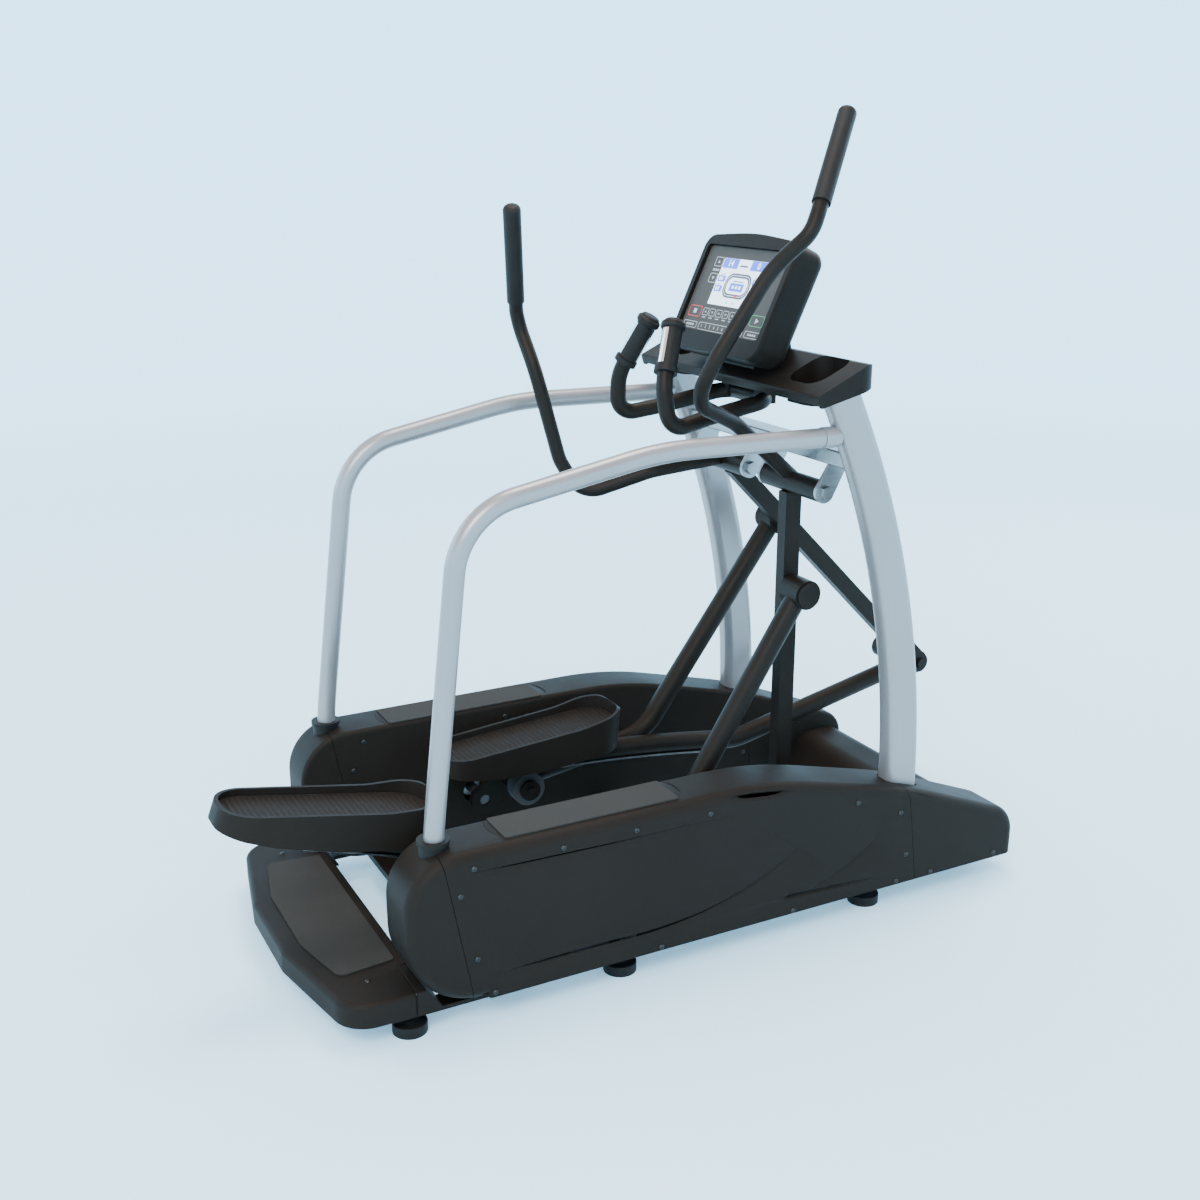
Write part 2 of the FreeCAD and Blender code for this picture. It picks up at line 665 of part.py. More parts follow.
CROSSBAR = (944.0, 1002.0, 1002.0, 1036.0)
BUSH_LENGTH = 30.0


def pivot_carrier():
    """Cross tube between the uprights with four plates that hold the two pivot axles."""
    x_low, x_high, z_low, z_high = CROSSBAR
    wall = D["steel_wall"]
    section = []
    for inset in (0.0, wall):
        corner = 5 - inset
        section += rounded(flat([(x_low + inset, z_low + inset, corner),
                                 (x_high - inset, z_low + inset, corner),
                                 (x_high - inset, z_high - inset, corner),
                                 (x_low + inset, z_high - inset, corner)]))
    padded_body("pivot_crossbar", section, "XZ_Plane", "crossbar_length",
                Placement(Vector(DX, 0, 0), Rotation()))
    plates = []
    axles = []
    bushes = []
    for side in SIDES.values():
        for near in (D["barrel_in"] - 1.0 - D["plate"], D["barrel_out"] + 1.0):
            y_low, y_high = span(side, near, near + D["plate"])
            web = prism_y([(PIVOT[0] - 21.7, PIVOT[1] + 10.2, 0), (PIVOT[0] + 21.7, PIVOT[1] - 10.2, 0),
                           (DX + 996, z_low, 0), (DX + 946, z_low, 0)], y_low, y_high)
            round_end = cylinder_y(*PIVOT, D["barrel_radius"], y_low, y_high)
            plates.append(web.fuse(round_end).removeSplitter().cut(
                cylinder_y(*PIVOT, D["axle_radius"], y_low - 1, y_high + 1)))
        y_in, y_out = D["barrel_in"] - 1.0 - D["plate"], D["barrel_out"] + 1.0 + D["plate"]
        axle = cylinder_y(*PIVOT, D["axle_radius"], *span(side, y_in - 2, y_out + 2))
        heads = [bolt_head(PIVOT, *span(side, y_in - 11, y_in)),
                 bolt_head(PIVOT, *span(side, y_out, y_out + 11))]
        axles.append(axle.multiFuse(heads).removeSplitter())
        for near, far in ((D["barrel_in"] + 0.5, D["barrel_in"] + BUSH_LENGTH),
                          (D["barrel_out"] - BUSH_LENGTH, D["barrel_out"] - 0.5)):
            bushes.append(ring_y(*PIVOT, D["bush_radius"], D["axle_radius"], *span(side, near, far)))
    feature("pivot_brackets", Part.makeCompound(plates))
    feature("pivot_axles", Part.makeCompound(axles))
    feature("pivot_bushes", Part.makeCompound(bushes))


def bolt_head(centre, y_low, y_high, radius=15.0):
    """A hexagonal head, flats-rounded, with its axis along Y."""
    corners = []
    for k in range(6):
        corner = on_circle(centre, radius, 60.0 * k + 15.0)
        corners.append((corner[0], corner[1], 0))
    return prism_y(corners, y_low, y_high)


# ---------------------------------------------------------------- swing arms

HANDLE_PATH = [((0, 12, 130), 0), ((-150, 141, 130), 70), ((-292, 205, 196), 62),
               ((-262, 292, 224), 90), ((-150, 470, 250), 200), ((-98, 537, 302), 60),
               ((-79, 573, 295), 60), ((40, 754, 211), 0)]


def swing_arm(name, side):
    """Pivot barrel, rectangular tube, lower fork and the stud of the drawbar joint."""
    place = arm_placement(name)
    y_arm = side * D["arm_y"]
    half_y, half_x = D["arm_width"] / 2, D["arm_depth"] / 2
    barrel = ring_y(0, 0, D["barrel_radius"], D["bush_radius"] + D["bush_fit"],
                    *span(side, D["barrel_in"], D["barrel_out"]))
    length = D["arm_length"]
    beam = tube_box(-half_x, half_x, y_arm - half_y, y_arm + half_y,
                    -length + D["joint_radius"] + 16, -D["barrel_radius"] + 3, "z")
    lid = box(-half_x, half_x, y_arm - half_y, y_arm + half_y,
              -length + D["joint_radius"] + 16, -length + D["joint_radius"] + 20)
    fork = []
    gap = D["joint_width"] / 2 + 0.5
    for direction in (-1, 1):
        inner = y_arm + direction * gap
        outer = inner + direction * D["plate"]
        y_low, y_high = min(inner, outer), max(inner, outer)
        plate = prism_y([(-26, -length + 95, 4), (-26, -length, 0), (26, -length, 0),
                         (26, -length + 95, 4)], y_low, y_high)
        fork += [plate, cylinder_y(0, -length, 26.0, y_low, y_high)]
        web_low, web_high = sorted((y_arm + direction * half_y, inner + direction * 0.5))
        fork.append(box(-half_x, half_x, web_low, web_high, -length + 55, -length + 92))
    bolt = cylinder_y(0, -length, D["axle_radius"], y_arm - gap - 12, y_arm + gap + 12)
    caps = [bolt_head((0, -length), y_arm + sign * (gap + 12) - 6, y_arm + sign * (gap + 12) + 6, 14.0)
            for sign in (-1, 1)]
    boss = cylinder_y(0, -length, D["joint_radius"],
                      *span(side, D["arm_y"] + gap + D["plate"] - 1, D["boss_out"]))
    stud_low, stud_high = span(side, D["arm_y"] + half_y - 3, D["drawbar_y"] + D["eye_width"] / 2 + 3)
    stud = cylinder_y(0, -D["knob_drop"], D["axle_radius"], stud_low, stud_high)
    cap_low, cap_high = span(side, D["drawbar_y"] + D["eye_width"] / 2 + 0.5,
                             D["drawbar_y"] + D["eye_width"] / 2 + 5)
    cap = cylinder_y(0, -D["knob_drop"], D["eye_radius"] - 4, cap_low, cap_high)
    whole = barrel.multiFuse([beam, lid, bolt, boss, stud, cap] + fork + caps)
    feature("swing_arm_" + name, whole.removeSplitter(), place)


def handlebar(name, side):
    """Moving handlebar: an S-bent tube on the pivot barrel, with a long rubber grip."""
    place = arm_placement(name)
    points = [(Vector(x, side * y, z), radius) for (x, z, y), radius in HANDLE_PATH]
    wire = path_wire(points)
    bar = tube(wire, D["handle_radius"], D["bar_wall"])
    bar = bar.cut(cylinder_y(0, 0, D["barrel_radius"] + 0.1, *span(side, 100, 160)))
    feature("handlebar_" + name, bar, place)
    low, high = points[-2][0], points[-1][0]
    axis = (high - low).normalize()
    start = low + axis * 26.0
    length = high.distanceToPoint(start) + 22.0
    sleeve = Part.makeCylinder(D["grip_radius"], length, start, axis)
    sleeve = sleeve.makeFillet(12.0, [sleeve.Edges[0]])
    hole = Part.makeCylinder(D["handle_radius"] + 0.1, high.distanceToPoint(start) + 0.5, start, axis)
    feature("grip_" + name, sleeve.cut(hole), place)


# ---------------------------------------------------------------- pedal arms

TUBE_END = 1138.0
BEND_START = 600.0


def pedal_arm(name):
    """Round tube from the joint barrel back under the foot pedal, bent up once."""
    offset = D["tube_radius"] + D["track_thickness"] - 1.0
    first, middle, last = arch_points(BEND_START, TUBE_END, offset)
    centre = Vector(-track_mid, 0, track_centre)
    spoke = first - centre
    tangent = Vector(spoke.z, 0, -spoke.x).normalize()
    corner = first + tangent * 62.0
    front = rounded([(Vector(0, 0, 0), 0), (corner, 150.0), (first, 0)], closed=False)
    wire = Part.Wire([edge.toShape() for edge in front + [Part.Arc(first, middle, last)]])
    solid = rod(wire, D["tube_radius"])
    hollow = rod(wire, D["tube_radius"] - D["tube_wall"])
    half = D["joint_width"] / 2
    barrel = cylinder_y(0, 0, D["joint_radius"], -half, half)
    bore = cylinder_y(0, 0, D["axle_radius"] + D["bush_fit"], -half - 1, half + 1)
    end = Part.makeCylinder(D["tube_radius"], 4.0, last, (last - middle).normalize())
    tube_part = solid.cut(hollow).multiFuse([barrel, end]).cut(bore)
    flat_cut = track_strip(BEND_START - 8, TUBE_END + 8, 0.0, D["track_thickness"] + 0.05, 80.0)
    feature("pedal_arm_" + name, tube_part.cut(flat_cut), pedal_placement(name))
    track = track_strip(BEND_START + 2, TUBE_END + 2, 0.0, D["track_thickness"], D["track_width"])
    feature("roller_track_" + name, track, pedal_placement(name))


def track_strip(u_start, u_end, low, high, width):
    """A strip between two arcs concentric with the track."""
    lower = arch_points(u_start, u_end, low, -width / 2)
    upper = arch_points(u_start, u_end, high, -width / 2)
    edges = [Part.Arc(*lower), Part.LineSegment(lower[2], upper[2]),
             Part.Arc(*upper), Part.LineSegment(upper[0], lower[0])]
    face = Part.Face(Part.Wire(Part.__sortEdges__([edge.toShape() for edge in edges])))
    return face.extrude(Vector(0, width, 0))


PEDAL_TOE = 889.0
PEDAL_HEEL = 1332.0


def tread_height(u):
    """Height of the tread above the joint in the pedal arm's frame."""
    return -102.0 + (1100.0 - u) * 0.167


def foot_pedal(name):
    """Deep-rimmed foot pedal: rounded plan, rim rising towards the toe, ribbed tread."""
    wall = 8.0

    def plan(inset, low, high):
        half = D["pedal_width"] / 2 - inset
        toe, heel = PEDAL_TOE + inset, PEDAL_HEEL - inset
        corner = half - 9.0
        return prism_z([(-toe, -half, corner), (-toe, half, corner),
                        (-heel, half - 6, corner - 8), (-heel, -half + 6, corner - 8)], low, high)

    half = D["pedal_width"] / 2
    profile = prism_y([(-PEDAL_TOE + 4, tread_height(PEDAL_TOE) + 34, 20),
                       (-PEDAL_TOE - 120, tread_height(PEDAL_TOE + 120) + 16, 220),
                       (-PEDAL_HEEL - 4, tread_height(PEDAL_HEEL) + 13, 9),
                       (-PEDAL_HEEL - 4, -166, 9), (-1215, -171, 120),
                       (-1090, -163, 160), (-PEDAL_TOE + 4, -128, 16)], -half - 1, half + 1)
    shell = plan(0.0, -220, 0).common(profile)
    # recess above the tread insert and hollow underneath
    heel_z, toe_z = tread_height(PEDAL_HEEL + 40), tread_height(PEDAL_TOE - 40)
    insert = D["tread_thickness"]
    above = prism_y([(-PEDAL_TOE + 40, toe_z - insert, 0), (-PEDAL_TOE + 40, 20, 0),
                     (-PEDAL_HEEL - 40, 20, 0), (-PEDAL_HEEL - 40, heel_z - insert, 0)], -half, half)
    below = prism_y([(-PEDAL_TOE + 40, toe_z - 10, 0), (-PEDAL_TOE + 40, -240, 0),
                     (-PEDAL_HEEL - 40, -240, 0), (-PEDAL_HEEL - 40, heel_z - 10, 0)], -half, half)
    shell = shell.cut(plan(wall, -240, 0).common(above))
    keel = box(-TUBE_END - 16, -PEDAL_TOE, -33, 33, -230, -50)
    shell = shell.cut(plan(wall, -240, 0).common(below).cut(keel))
    offset = D["tube_radius"] + D["track_thickness"] - 1.0
    saddle = Part.Wire([Part.Arc(*arch_points(PEDAL_TOE - 30, TUBE_END + 6, offset)).toShape()])
    channel = box(-TUBE_END - 6, -PEDAL_TOE + 20, -23.1, 23.1, -230, -166)
    shell = shell.cut(rod(saddle, D["tube_radius"] + 0.1)).cut(channel)
    feature("foot_pedal_" + name, shell, pedal_placement(name))
    slab = prism_y([(-PEDAL_TOE + 40, toe_z - insert + 0.1, 0), (-PEDAL_TOE + 40, toe_z, 0),
                    (-PEDAL_HEEL - 40, heel_z, 0), (-PEDAL_HEEL - 40, heel_z - insert + 0.1, 0)],
                   -half, half)
    feature("pedal_tread_" + name, plan(wall + 0.5, -240, 0).common(slab), pedal_placement(name))


# ---------------------------------------------------------------- drawbars, rollers, cranks

DRAWBAR_RISE = 15.7
DRAWBAR_UPPER = 618.0
LOWER_HALF = 25.0


def drawbar(name, side):
    """Bent drawbar with an eye at the knob, and the crank pin pressed in its lower eye."""
    place = drawbar_placement(name)
    y = side * D["drawbar_y"]
    turn = math.radians(DRAWBAR_RISE)
    corner = Vector(-DRAWBAR_UPPER * math.cos(turn), y, -DRAWBAR_UPPER * math.sin(turn))
    wire = path_wire([(Vector(0, y, 0), 0), (corner, 130.0), (Vector(-chord, y, 0), 0)])
    bar = rod(wire, D["drawbar_radius"])
    hollow = rod(wire, D["drawbar_radius"] - 3.0)
    half = D["eye_width"] / 2
    y_lower = span(side, D["drawbar_y"] - LOWER_HALF, D["drawbar_y"] + LOWER_HALF)
    eyes = [cylinder_y(0, 0, D["eye_radius"], y - half, y + half),
            cylinder_y(-chord, 0, D["lower_eye"], *y_lower)]
    bores = [cylinder_y(0, 0, D["axle_radius"] + D["bush_fit"], y - half - 1, y + half + 1),
             cylinder_y(-chord, 0, D["pin_radius"] + 0.05, y_lower[0] - 1, y_lower[1] + 1)]
    whole = bar.cut(hollow).multiFuse(eyes).cut(bores[0]).cut(bores[1])
    feature("drawbar_" + name, whole.removeSplitter(), place)
    # roller pin with its collar and inner retaining bolt
    near = D["arm_y"] - D["roller_width"] / 2
    crank_face = D["crank_y"] - D["crank_thickness"] / 2 - 0.6
    pin = [cylinder_y(-chord, 0, D["pin_radius"], *span(side, near - 6, crank_face)),
           cylinder_y(-chord, 0, D["pin_radius"] + 12, *span(side, near - 10, near - 1.0)),
           bolt_head((-chord, 0), *span(side, near - 18, near - 9.5), 11.0),
           cylinder_y(-chord, 0, D["pin_radius"] + 8,
                      *span(side, D["arm_y"] + D["roller_width"] / 2 + 1.0,
                            D["drawbar_y"] - LOWER_HALF - 0.3)),
           cylinder_y(-chord, 0, D["pin_radius"] + 12,
                      *span(side, D["drawbar_y"] + LOWER_HALF + 0.3, crank_face))]
    feature("roller_pin_" + name, pin[0].multiFuse(pin[1:]).removeSplitter(), place)
    rings = [circle_edge(0, 0, D["roller_radius"]), circle_edge(0, 0, D["pin_radius"] + D["bush_fit"])]
    padded_body("track_roller_" + name, rings, "XZ_Plane", "roller_width",
                place * Placement(Vector(-chord, side * D["arm_y"], 0), Rotation()))


def crank(name, side):
    """Crank arm in the corridor, its shaft through the cover and the pulley inside."""
    place = turned(REST_CRANK[name], Vector(CRANK[0], 0, CRANK[1]))
    throw = D["crank_radius"]
    hub, tip = 33.0, 26.0
    lean = math.acos((hub - tip) / throw)
    corners = {}
    for key, radius, station in (("hub", hub, 0.0), ("tip", tip, throw)):
        for sign in (-1, 1):
            corners[key, sign] = Vector(station + radius * math.cos(lean),
                                        sign * radius * math.sin(lean), 0)
    outline = [Part.LineSegment(corners["hub", 1], corners["tip", 1]),
               Part.Arc(corners["tip", 1], Vector(throw + tip, 0, 0), corners["tip", -1]),
               Part.LineSegment(corners["tip", -1], corners["hub", -1]),
               Part.Arc(corners["hub", -1], Vector(-hub, 0, 0), corners["hub", 1]),
               circle_edge(0, 0, D["shaft_radius"] + 0.02)]
    padded_body("crank_arm_" + name, outline, "XZ_Plane", "crank_thickness",
                place * Placement(Vector(0, side * D["crank_y"], 0), Rotation()))
    half = D["pulley_width"] / 2
    rim = cylinder_y(0, 0, D["crank_pulley"], *span(side, D["belt_y"] - half, D["belt_y"] + half))
    rim = rim.cut(ring_y(0, 0, D["crank_pulley"] - 12, 32.0,
                         *span(side, D["belt_y"] - half - 1, D["belt_y"] - 3)))
    windows = []
    for k in range(5):
        window = on_circle((0, 0), 62.0, 72.0 * k)
        windows.append(cylinder_y(window[0], window[1], 17.0,
                                  *span(side, D["belt_y"] - half - 1, D["belt_y"] + half + 1)))
    rim = rim.cut(windows[0].multiFuse(windows[1:]))
    shaft = cylinder_y(0, 0, D["shaft_radius"],
                       *span(side, D["crank_y"] - D["crank_thickness"] / 2 + 3, D["belt_y"] + half - 2))
    feature("crank_pulley_" + name, rim.fuse(shaft).removeSplitter(), place)


# ---------------------------------------------------------------- belt drive

def belt_loop(inner_gap):
    """Closed outline of the belt round the crank and cross-shaft pulleys, side view."""
    x_1, z_1, r_1 = CRANK[0], CRANK[1], D["crank_pulley"] + inner_gap
    x_2, z_2, r_2 = DX + D["drive_x"], D["drive_z"], D["drive_pulley"] + inner_gap
    slope = math.atan2(z_2 - z_1, x_2 - x_1)
    lean = math.acos((r_1 - r_2) / math.dist((x_1, z_1), (x_2, z_2)))
    points = []
    for angle in (slope + lean, slope - lean):
        for x, z, radius in ((x_1, z_1, r_1), (x_2, z_2, r_2)):
            points.append(Vector(x + radius * math.cos(angle), 0, z + radius * math.sin(angle)))
    upper_1, upper_2, lower_1, lower_2 = points
    back = Vector(x_1 - r_1 * math.cos(slope), 0, z_1 - r_1 * math.sin(slope))
    nose = Vector(x_2 + r_2 * math.cos(slope), 0, z_2 + r_2 * math.sin(slope))
    edges = [Part.LineSegment(upper_1, upper_2), Part.Arc(upper_2, nose, lower_2),
             Part.LineSegment(lower_2, lower_1), Part.Arc(lower_1, back, upper_1)]
    return Part.Face(Part.Wire([edge.toShape() for edge in edges]))


def belt_drive():
    """Belts, the cross shaft that locks both cranks together, and the flywheel."""
    belts = []
    for side in SIDES.values():
        low = span(side, D["belt_y"] - D["belt_width"] / 2, D["belt_y"] + D["belt_width"] / 2)[0]
        loops = []
        for gap in (0.35, 0.35 + D["belt_thickness"]):
            loop = belt_loop(gap).extrude(Vector(0, D["belt_width"], 0))
            loop.translate(Vector(0, low, 0))
            loops.append(loop)
        belts.append(loops[1].cut(loops[0]))
    feature("drive_belts", Part.makeCompound(belts))
    centre = (DX + D["drive_x"], D["drive_z"])
    reach = D["belt_y"] + D["pulley_width"] / 2
    solids = [cylinder_y(*centre, D["drive_shaft_radius"], -reach + 1, reach - 1)]
    for side in SIDES.values():
        solids.append(cylinder_y(*centre, D["drive_pulley"], *span(side, reach - D["pulley_width"], reach)))
    feature("cross_shaft", solids[0].multiFuse(solids[1:]).removeSplitter())
    fly = (DX + D["flywheel_x"], FLYWHEEL_Z)
    side = SIDES["right"]
    wheel = cylinder_y(*fly, D["flywheel_radius"], *span(side, 283.0, 283.0 + D["flywheel_width"]))
    wheel = wheel.cut(ring_y(*fly, D["flywheel_radius"] - 22, 26.0, *span(side, 282.0, 287.0)))
    hub = cylinder_y(*fly, D["drive_shaft_radius"], *span(side, 283.0, reach - 1))
    pulley = cylinder_y(*fly, D["fly_pulley"], *span(side, reach - D["pulley_width"], reach))
    feature("flywheel", wheel.multiFuse([hub, pulley]).removeSplitter())


def shaft_bearings():
    """Ball bearings pressed in the towers; the shafts run in them."""
    rings = []
    width = D["plate"] + 2.0
    stations = []
    for side in SIDES.values():
        stations.append((CRANK, side, D["shaft_radius"], BEARING_SEAT))
        stations.append(((DX + D["drive_x"], D["drive_z"]), side, D["drive_shaft_radius"], SMALL_SEAT))
    fly = (DX + D["flywheel_x"], FLYWHEEL_Z)
    stations.append((fly, SIDES["right"], D["drive_shaft_radius"], SMALL_SEAT))
    for centre, side, shaft, seat in stations:
        for near in (306.0, 352.0):
            rings.append(ring_y(*centre, seat - 0.02, shaft + D["bush_fit"],
                                *span(side, near, near + width)))
    feature("shaft_bearings", Part.makeCompound(rings))


# ---------------------------------------------------------------- console end

CONSOLE_LOW, CONSOLE_HIGH = -142.0, 126.0
CUP_Y = 250.0
CUP_FLOOR = 1142.0
TRAY_FRONT = 985.0
TRAY_CORNER = 45.0


def console_place():
    """Console pieces are drawn with u across, v up the panel and w out of it."""
    tilt = D["console_tilt"]
    lean = Rotation(Vector(0, 1, 0), tilt)
    centre = Vector(DX + 862, 0, 1343)
    face_up = Placement(Vector(), Rotation(Vector(0, 0, 1), -90))
    stand = Placement(Vector(), Rotation(Vector(1, 0, 0), 90))
    return Placement(centre, lean) * face_up * stand


def console_shell():
    """Outer solid of the console's rear shell, in place."""
    half = D["console_half"] - 2
    outline = [(-half, CONSOLE_LOW + 3, 32), (half, CONSOLE_LOW + 3, 32),
               (half, CONSOLE_HIGH - 3, 32), (-half, CONSOLE_HIGH - 3, 32)]
    shell = prism_z(outline, -74, -26.3)
    rim = [edge for edge in shell.Edges if edge.BoundBox.ZMax < -73.9]
    shell = shell.makeFillet(24.0, rim)
    shell.Placement = console_place()
    return shell


def tray_plan(inset):
    """The tray's outline from above as a tall block, smaller by inset all round."""
    side = D["tray_half"] - inset
    back, front = DX + 822.0 + inset, DX + TRAY_FRONT - inset
    return prism_z([(back, -side, 12.0 - inset), (front, -side, TRAY_CORNER - inset),
                    (front, side, TRAY_CORNER - inset), (back, side, 12.0 - inset)], 1090, 1270)


def tray():
    """Tray across the uprights, tilted towards the user, with two cup wells."""
    wall = 3.5
    half = D["tray_half"]
    side_view = [(832, 1168, 6), (955, 1225, 10), (TRAY_FRONT, 1221, 10),
                 (TRAY_FRONT, tray_floor(TRAY_FRONT), 6), (840, 1143, 6)]
    outer = prism_y([(DX + x, z, r) for x, z, r in side_view], -half, half)
    outer = outer.common(tray_plan(0.0))
    inside = [(838, 1145, 0), (838, 1164, 0), (955, 1219, 4), (TRAY_FRONT - wall, 1217, 4),
              (TRAY_FRONT - wall, 1160, 0), (838, 1122, 0)]
    inner = prism_y([(DX + x, z, r) for x, z, r in inside], -half, half).common(tray_plan(wall + 2.0))
    body = outer.cut(inner)
    for side in SIDES.values():
        y = side * CUP_Y
        well = prism_z([(DX + 858, y - 59, 38), (DX + 968, y - 59, 38),
                        (DX + 968, y + 59, 38), (DX + 858, y + 59, 38)], CUP_FLOOR - 4, 1240)
        cup = prism_z([(DX + 862, y - 55, 35), (DX + 964, y - 55, 35),
                       (DX + 964, y + 55, 35), (DX + 862, y + 55, 35)], CUP_FLOOR, 1260)
        lid = prism_y([(DX + 800, 1120, 0), (DX + 1040, 1120, 0), (DX + 1040, 1224, 0),
                       (DX + 966, 1224, 0), (DX + 832, 1166, 0), (DX + 800, 1152, 0)], -half, half)
        body = body.fuse(well.common(lid)).cut(cup)
    neck = prism_y([(DX + 868, 1182, 0), (DX + 968, 1212, 0), (DX + 956, 1268, 12),
                    (DX + 892, 1296, 0)], -72, 72).cut(console_shell())
    saddles = [box(DX + 886, DX + 924, y - 14, y + 14, 1108, 1196) for y in (-66.0, 66.0)]
    bar = rod(handlebar_wire(), D["bar_radius"] + 0.1)
    body = body.multiFuse([neck] + saddles).cut(bar)
    feature("console_tray", body.removeSplitter())


def console():
    """Housing bezel, rear shell, key panel, display glass and the neck on the tray."""
    place = console_place()
    half = D["console_half"]
    low, high = CONSOLE_LOW, CONSOLE_HIGH

    def slab(u, v_low, v_high, corner, w_low, w_high):
        outline = [(-u, v_low, corner), (u, v_low, corner), (u, v_high, corner), (-u, v_high, corner)]
        return prism_z(outline, w_low, w_high)

    crown = [(-half, low, 34), (half, low, 34), (half, high - 6, 34), (0, high + 7, 800),
             (-half, high - 6, 34)]
    frame = prism_z(crown, -26, 9)
    top_edges = [edge for edge in frame.Edges if edge.BoundBox.ZMin > 8.9]
    frame = frame.makeFillet(5.0, top_edges)
    frame = frame.cut(slab(D["panel_half"] + 0.6, -98.6, 98.6, 10, -3, 20))
    frame = frame.cut(slab(half - 4, low + 4, high - 4, 30, -40, -6))
    feature("console_bezel", frame, place)
    hollow = slab(half - 6, low + 7, high - 7, 28, -70, -20)
    hollow = hollow.makeFillet(20.0, [edge for edge in hollow.Edges if edge.BoundBox.ZMax < -69.9])
    hollow.Placement = place
    feature("console_back", console_shell().cut(hollow))
    half = D["panel_half"]
    panel = rounded(flat([(-half, -98, 9), (half, -98, 9), (half, 98, 9), (-half, 98, 9)]))
    padded_body("console_panel", panel, "XY_Plane", "panel_thickness",
                place * Placement(Vector(0, 0, -D["panel_thickness"] / 2), Rotation()))
    glass = rounded(flat([(-86, -35, 3), (86, -35, 3), (86, 72, 3), (-86, 72, 3)]))
    padded_body("display_glass", glass, "XY_Plane", "glass_thickness",
                place * Placement(Vector(0, 0, 0.2 + D["glass_thickness"] / 2), Rotation()))


BAR_PATH = [((682, 1293), 49, 0), ((630, 1170), 98, 120.0), ((637, 1077), 114, 36.0),
            ((740, 1093), 94, 70.0), ((905, 1120), 88, 40.0)]


def handlebar_wire():
    left = [(Vector(DX + x, y, z), radius) for (x, z), y, radius in BAR_PATH]
    right = [(Vector(p.x, -p.y, p.z), radius) for p, radius in reversed(left)]
    return path_wire(left + right)


GRIP = 21.5


def fixed_handlebar():
    """Fixed bar under the tray with two upright horns that carry the pulse grips."""
    feature("fixed_handlebar", tube(handlebar_wire(), D["bar_radius"], D["bar_wall"]))
    half = [Vector(DX + x, y, z) for (x, z), y, radius in BAR_PATH]
    grips = []
    sensors = []
    for side in SIDES.values():
        top = Vector(half[0].x, side * half[0].y, half[0].z)
        corner = Vector(half[1].x, side * half[1].y, half[1].z)
        axis = (top - corner).normalize()
        start = top - axis * 112.0
        grip = Part.makeCylinder(GRIP, 116.0, start, axis)
        grip = grip.makeFillet(7.0, [grip.Edges[0]])
        collar = Part.makeCylinder(GRIP + 3.5, 12.0, start - axis * 3, axis)
        crown = Part.makeCylinder(GRIP + 4.5, 16.0, top - axis * 18, axis)
        crown = crown.makeFillet(5.0, [crown.Edges[0], crown.Edges[2]])
        hole = Part.makeCylinder(D["bar_radius"] + 0.1, 112.4, start - axis * 6, axis)
        hole = hole.fuse(Part.makeCylinder(D["bar_radius"] + 0.1, 113.0, start, axis))
        grip = grip.multiFuse([collar, crown]).cut(hole)
        # a steel contact strip lies in the inner side of the grip
        sleeve = Part.makeCylinder(GRIP + 0.9, 76.0, start + axis * 15, axis)
        sleeve = sleeve.cut(Part.makeCylinder(GRIP + 0.05, 80.0, start + axis * 13, axis))
        window = Part.makeBox(30, 40, 80, Vector(-15, 0, -40))
        across = axis.cross(Vector(0, -side, 0))
        facing = Rotation(across, Vector(0, -side, 0), axis, "ZYX")
        window.Placement = Placement(start + axis * 53, facing)
        sensors.append(sleeve.common(window))
        grips.append(grip)
    feature("pulse_grips", Part.makeCompound(grips))
    feature("pulse_sensors", Part.makeCompound(sensors))


# ---------------------------------------------------------------- fasteners and inlet

OUTER_SCREWS = [(56, 342), (244, 342), (406, 342), (578, 340), (956, 282), (1076, 232), (1098, 125),
                (1075, 64), (1173, 64), (1360, 68), (795, 62), (467, 63), (27, 291), (58, 149), (94, 66)]
INNER_SCREWS = [(69, 344), (42, 278), (421, 342), (387, 122), (1105, 114)]


def pan_head(x, y, z, direction):
    """A pan-head screw head standing on a face whose outward normal is direction."""
    axis = Vector(*direction)
    head = Part.makeCylinder(6.0, 3.2, Vector(x, y, z), axis)
    return head.makeFillet(2.2, [head.Edges[0]])


def screws():
    heads = []
    for side in SIDES.values():
        outer = side * (D["cover_in"] + D["cover_width"] + 0.05)
        inner = side * (D["cover_in"] - 0.05)
        heads += [pan_head(DX + x, outer, z, (0, side, 0)) for x, z in OUTER_SCREWS]
        heads += [pan_head(DX + x, inner, z, (0, -side, 0)) for x, z in INNER_SCREWS]
    top = D["step_bottom"] + D["step_height"] + 0.05
    heads += [pan_head(DX - 130, side * 300.0, top, (0, 0, 1)) for side in SIDES.values()]
    feature("pan_screws", Part.makeCompound(heads))


def power_inlet():
    """Appliance inlet at the front of the left cover, low down."""
    x = DX + 1423.3
    y_low, y_high = span(1, 322, 352)
    plate = prism_y([(x, 68, 0), (x + 3, 68, 0), (x + 3, 108, 0), (x, 108, 0)], y_low, y_high)
    mouth = box(x + 0.8, x + 4, y_low + 4, y_high - 4, 76, 100)
    feature("power_inlet", plate.cut(mouth))


# ---------------------------------------------------------------- build and write

base_frame()
levelling_feet()
side_covers()
step_pads()
front_hood()
rear_step()
uprights()
handrails()
pivot_carrier()
for arm_name, arm_side in SIDES.items():
    swing_arm(arm_name, arm_side)
    handlebar(arm_name, arm_side)
    pedal_arm(arm_name)
    foot_pedal(arm_name)
    drawbar(arm_name, arm_side)
    crank(arm_name, arm_side)
belt_drive()
shaft_bearings()
tray()
console()
fixed_handlebar()
screws()
power_inlet()
doc.recompute()

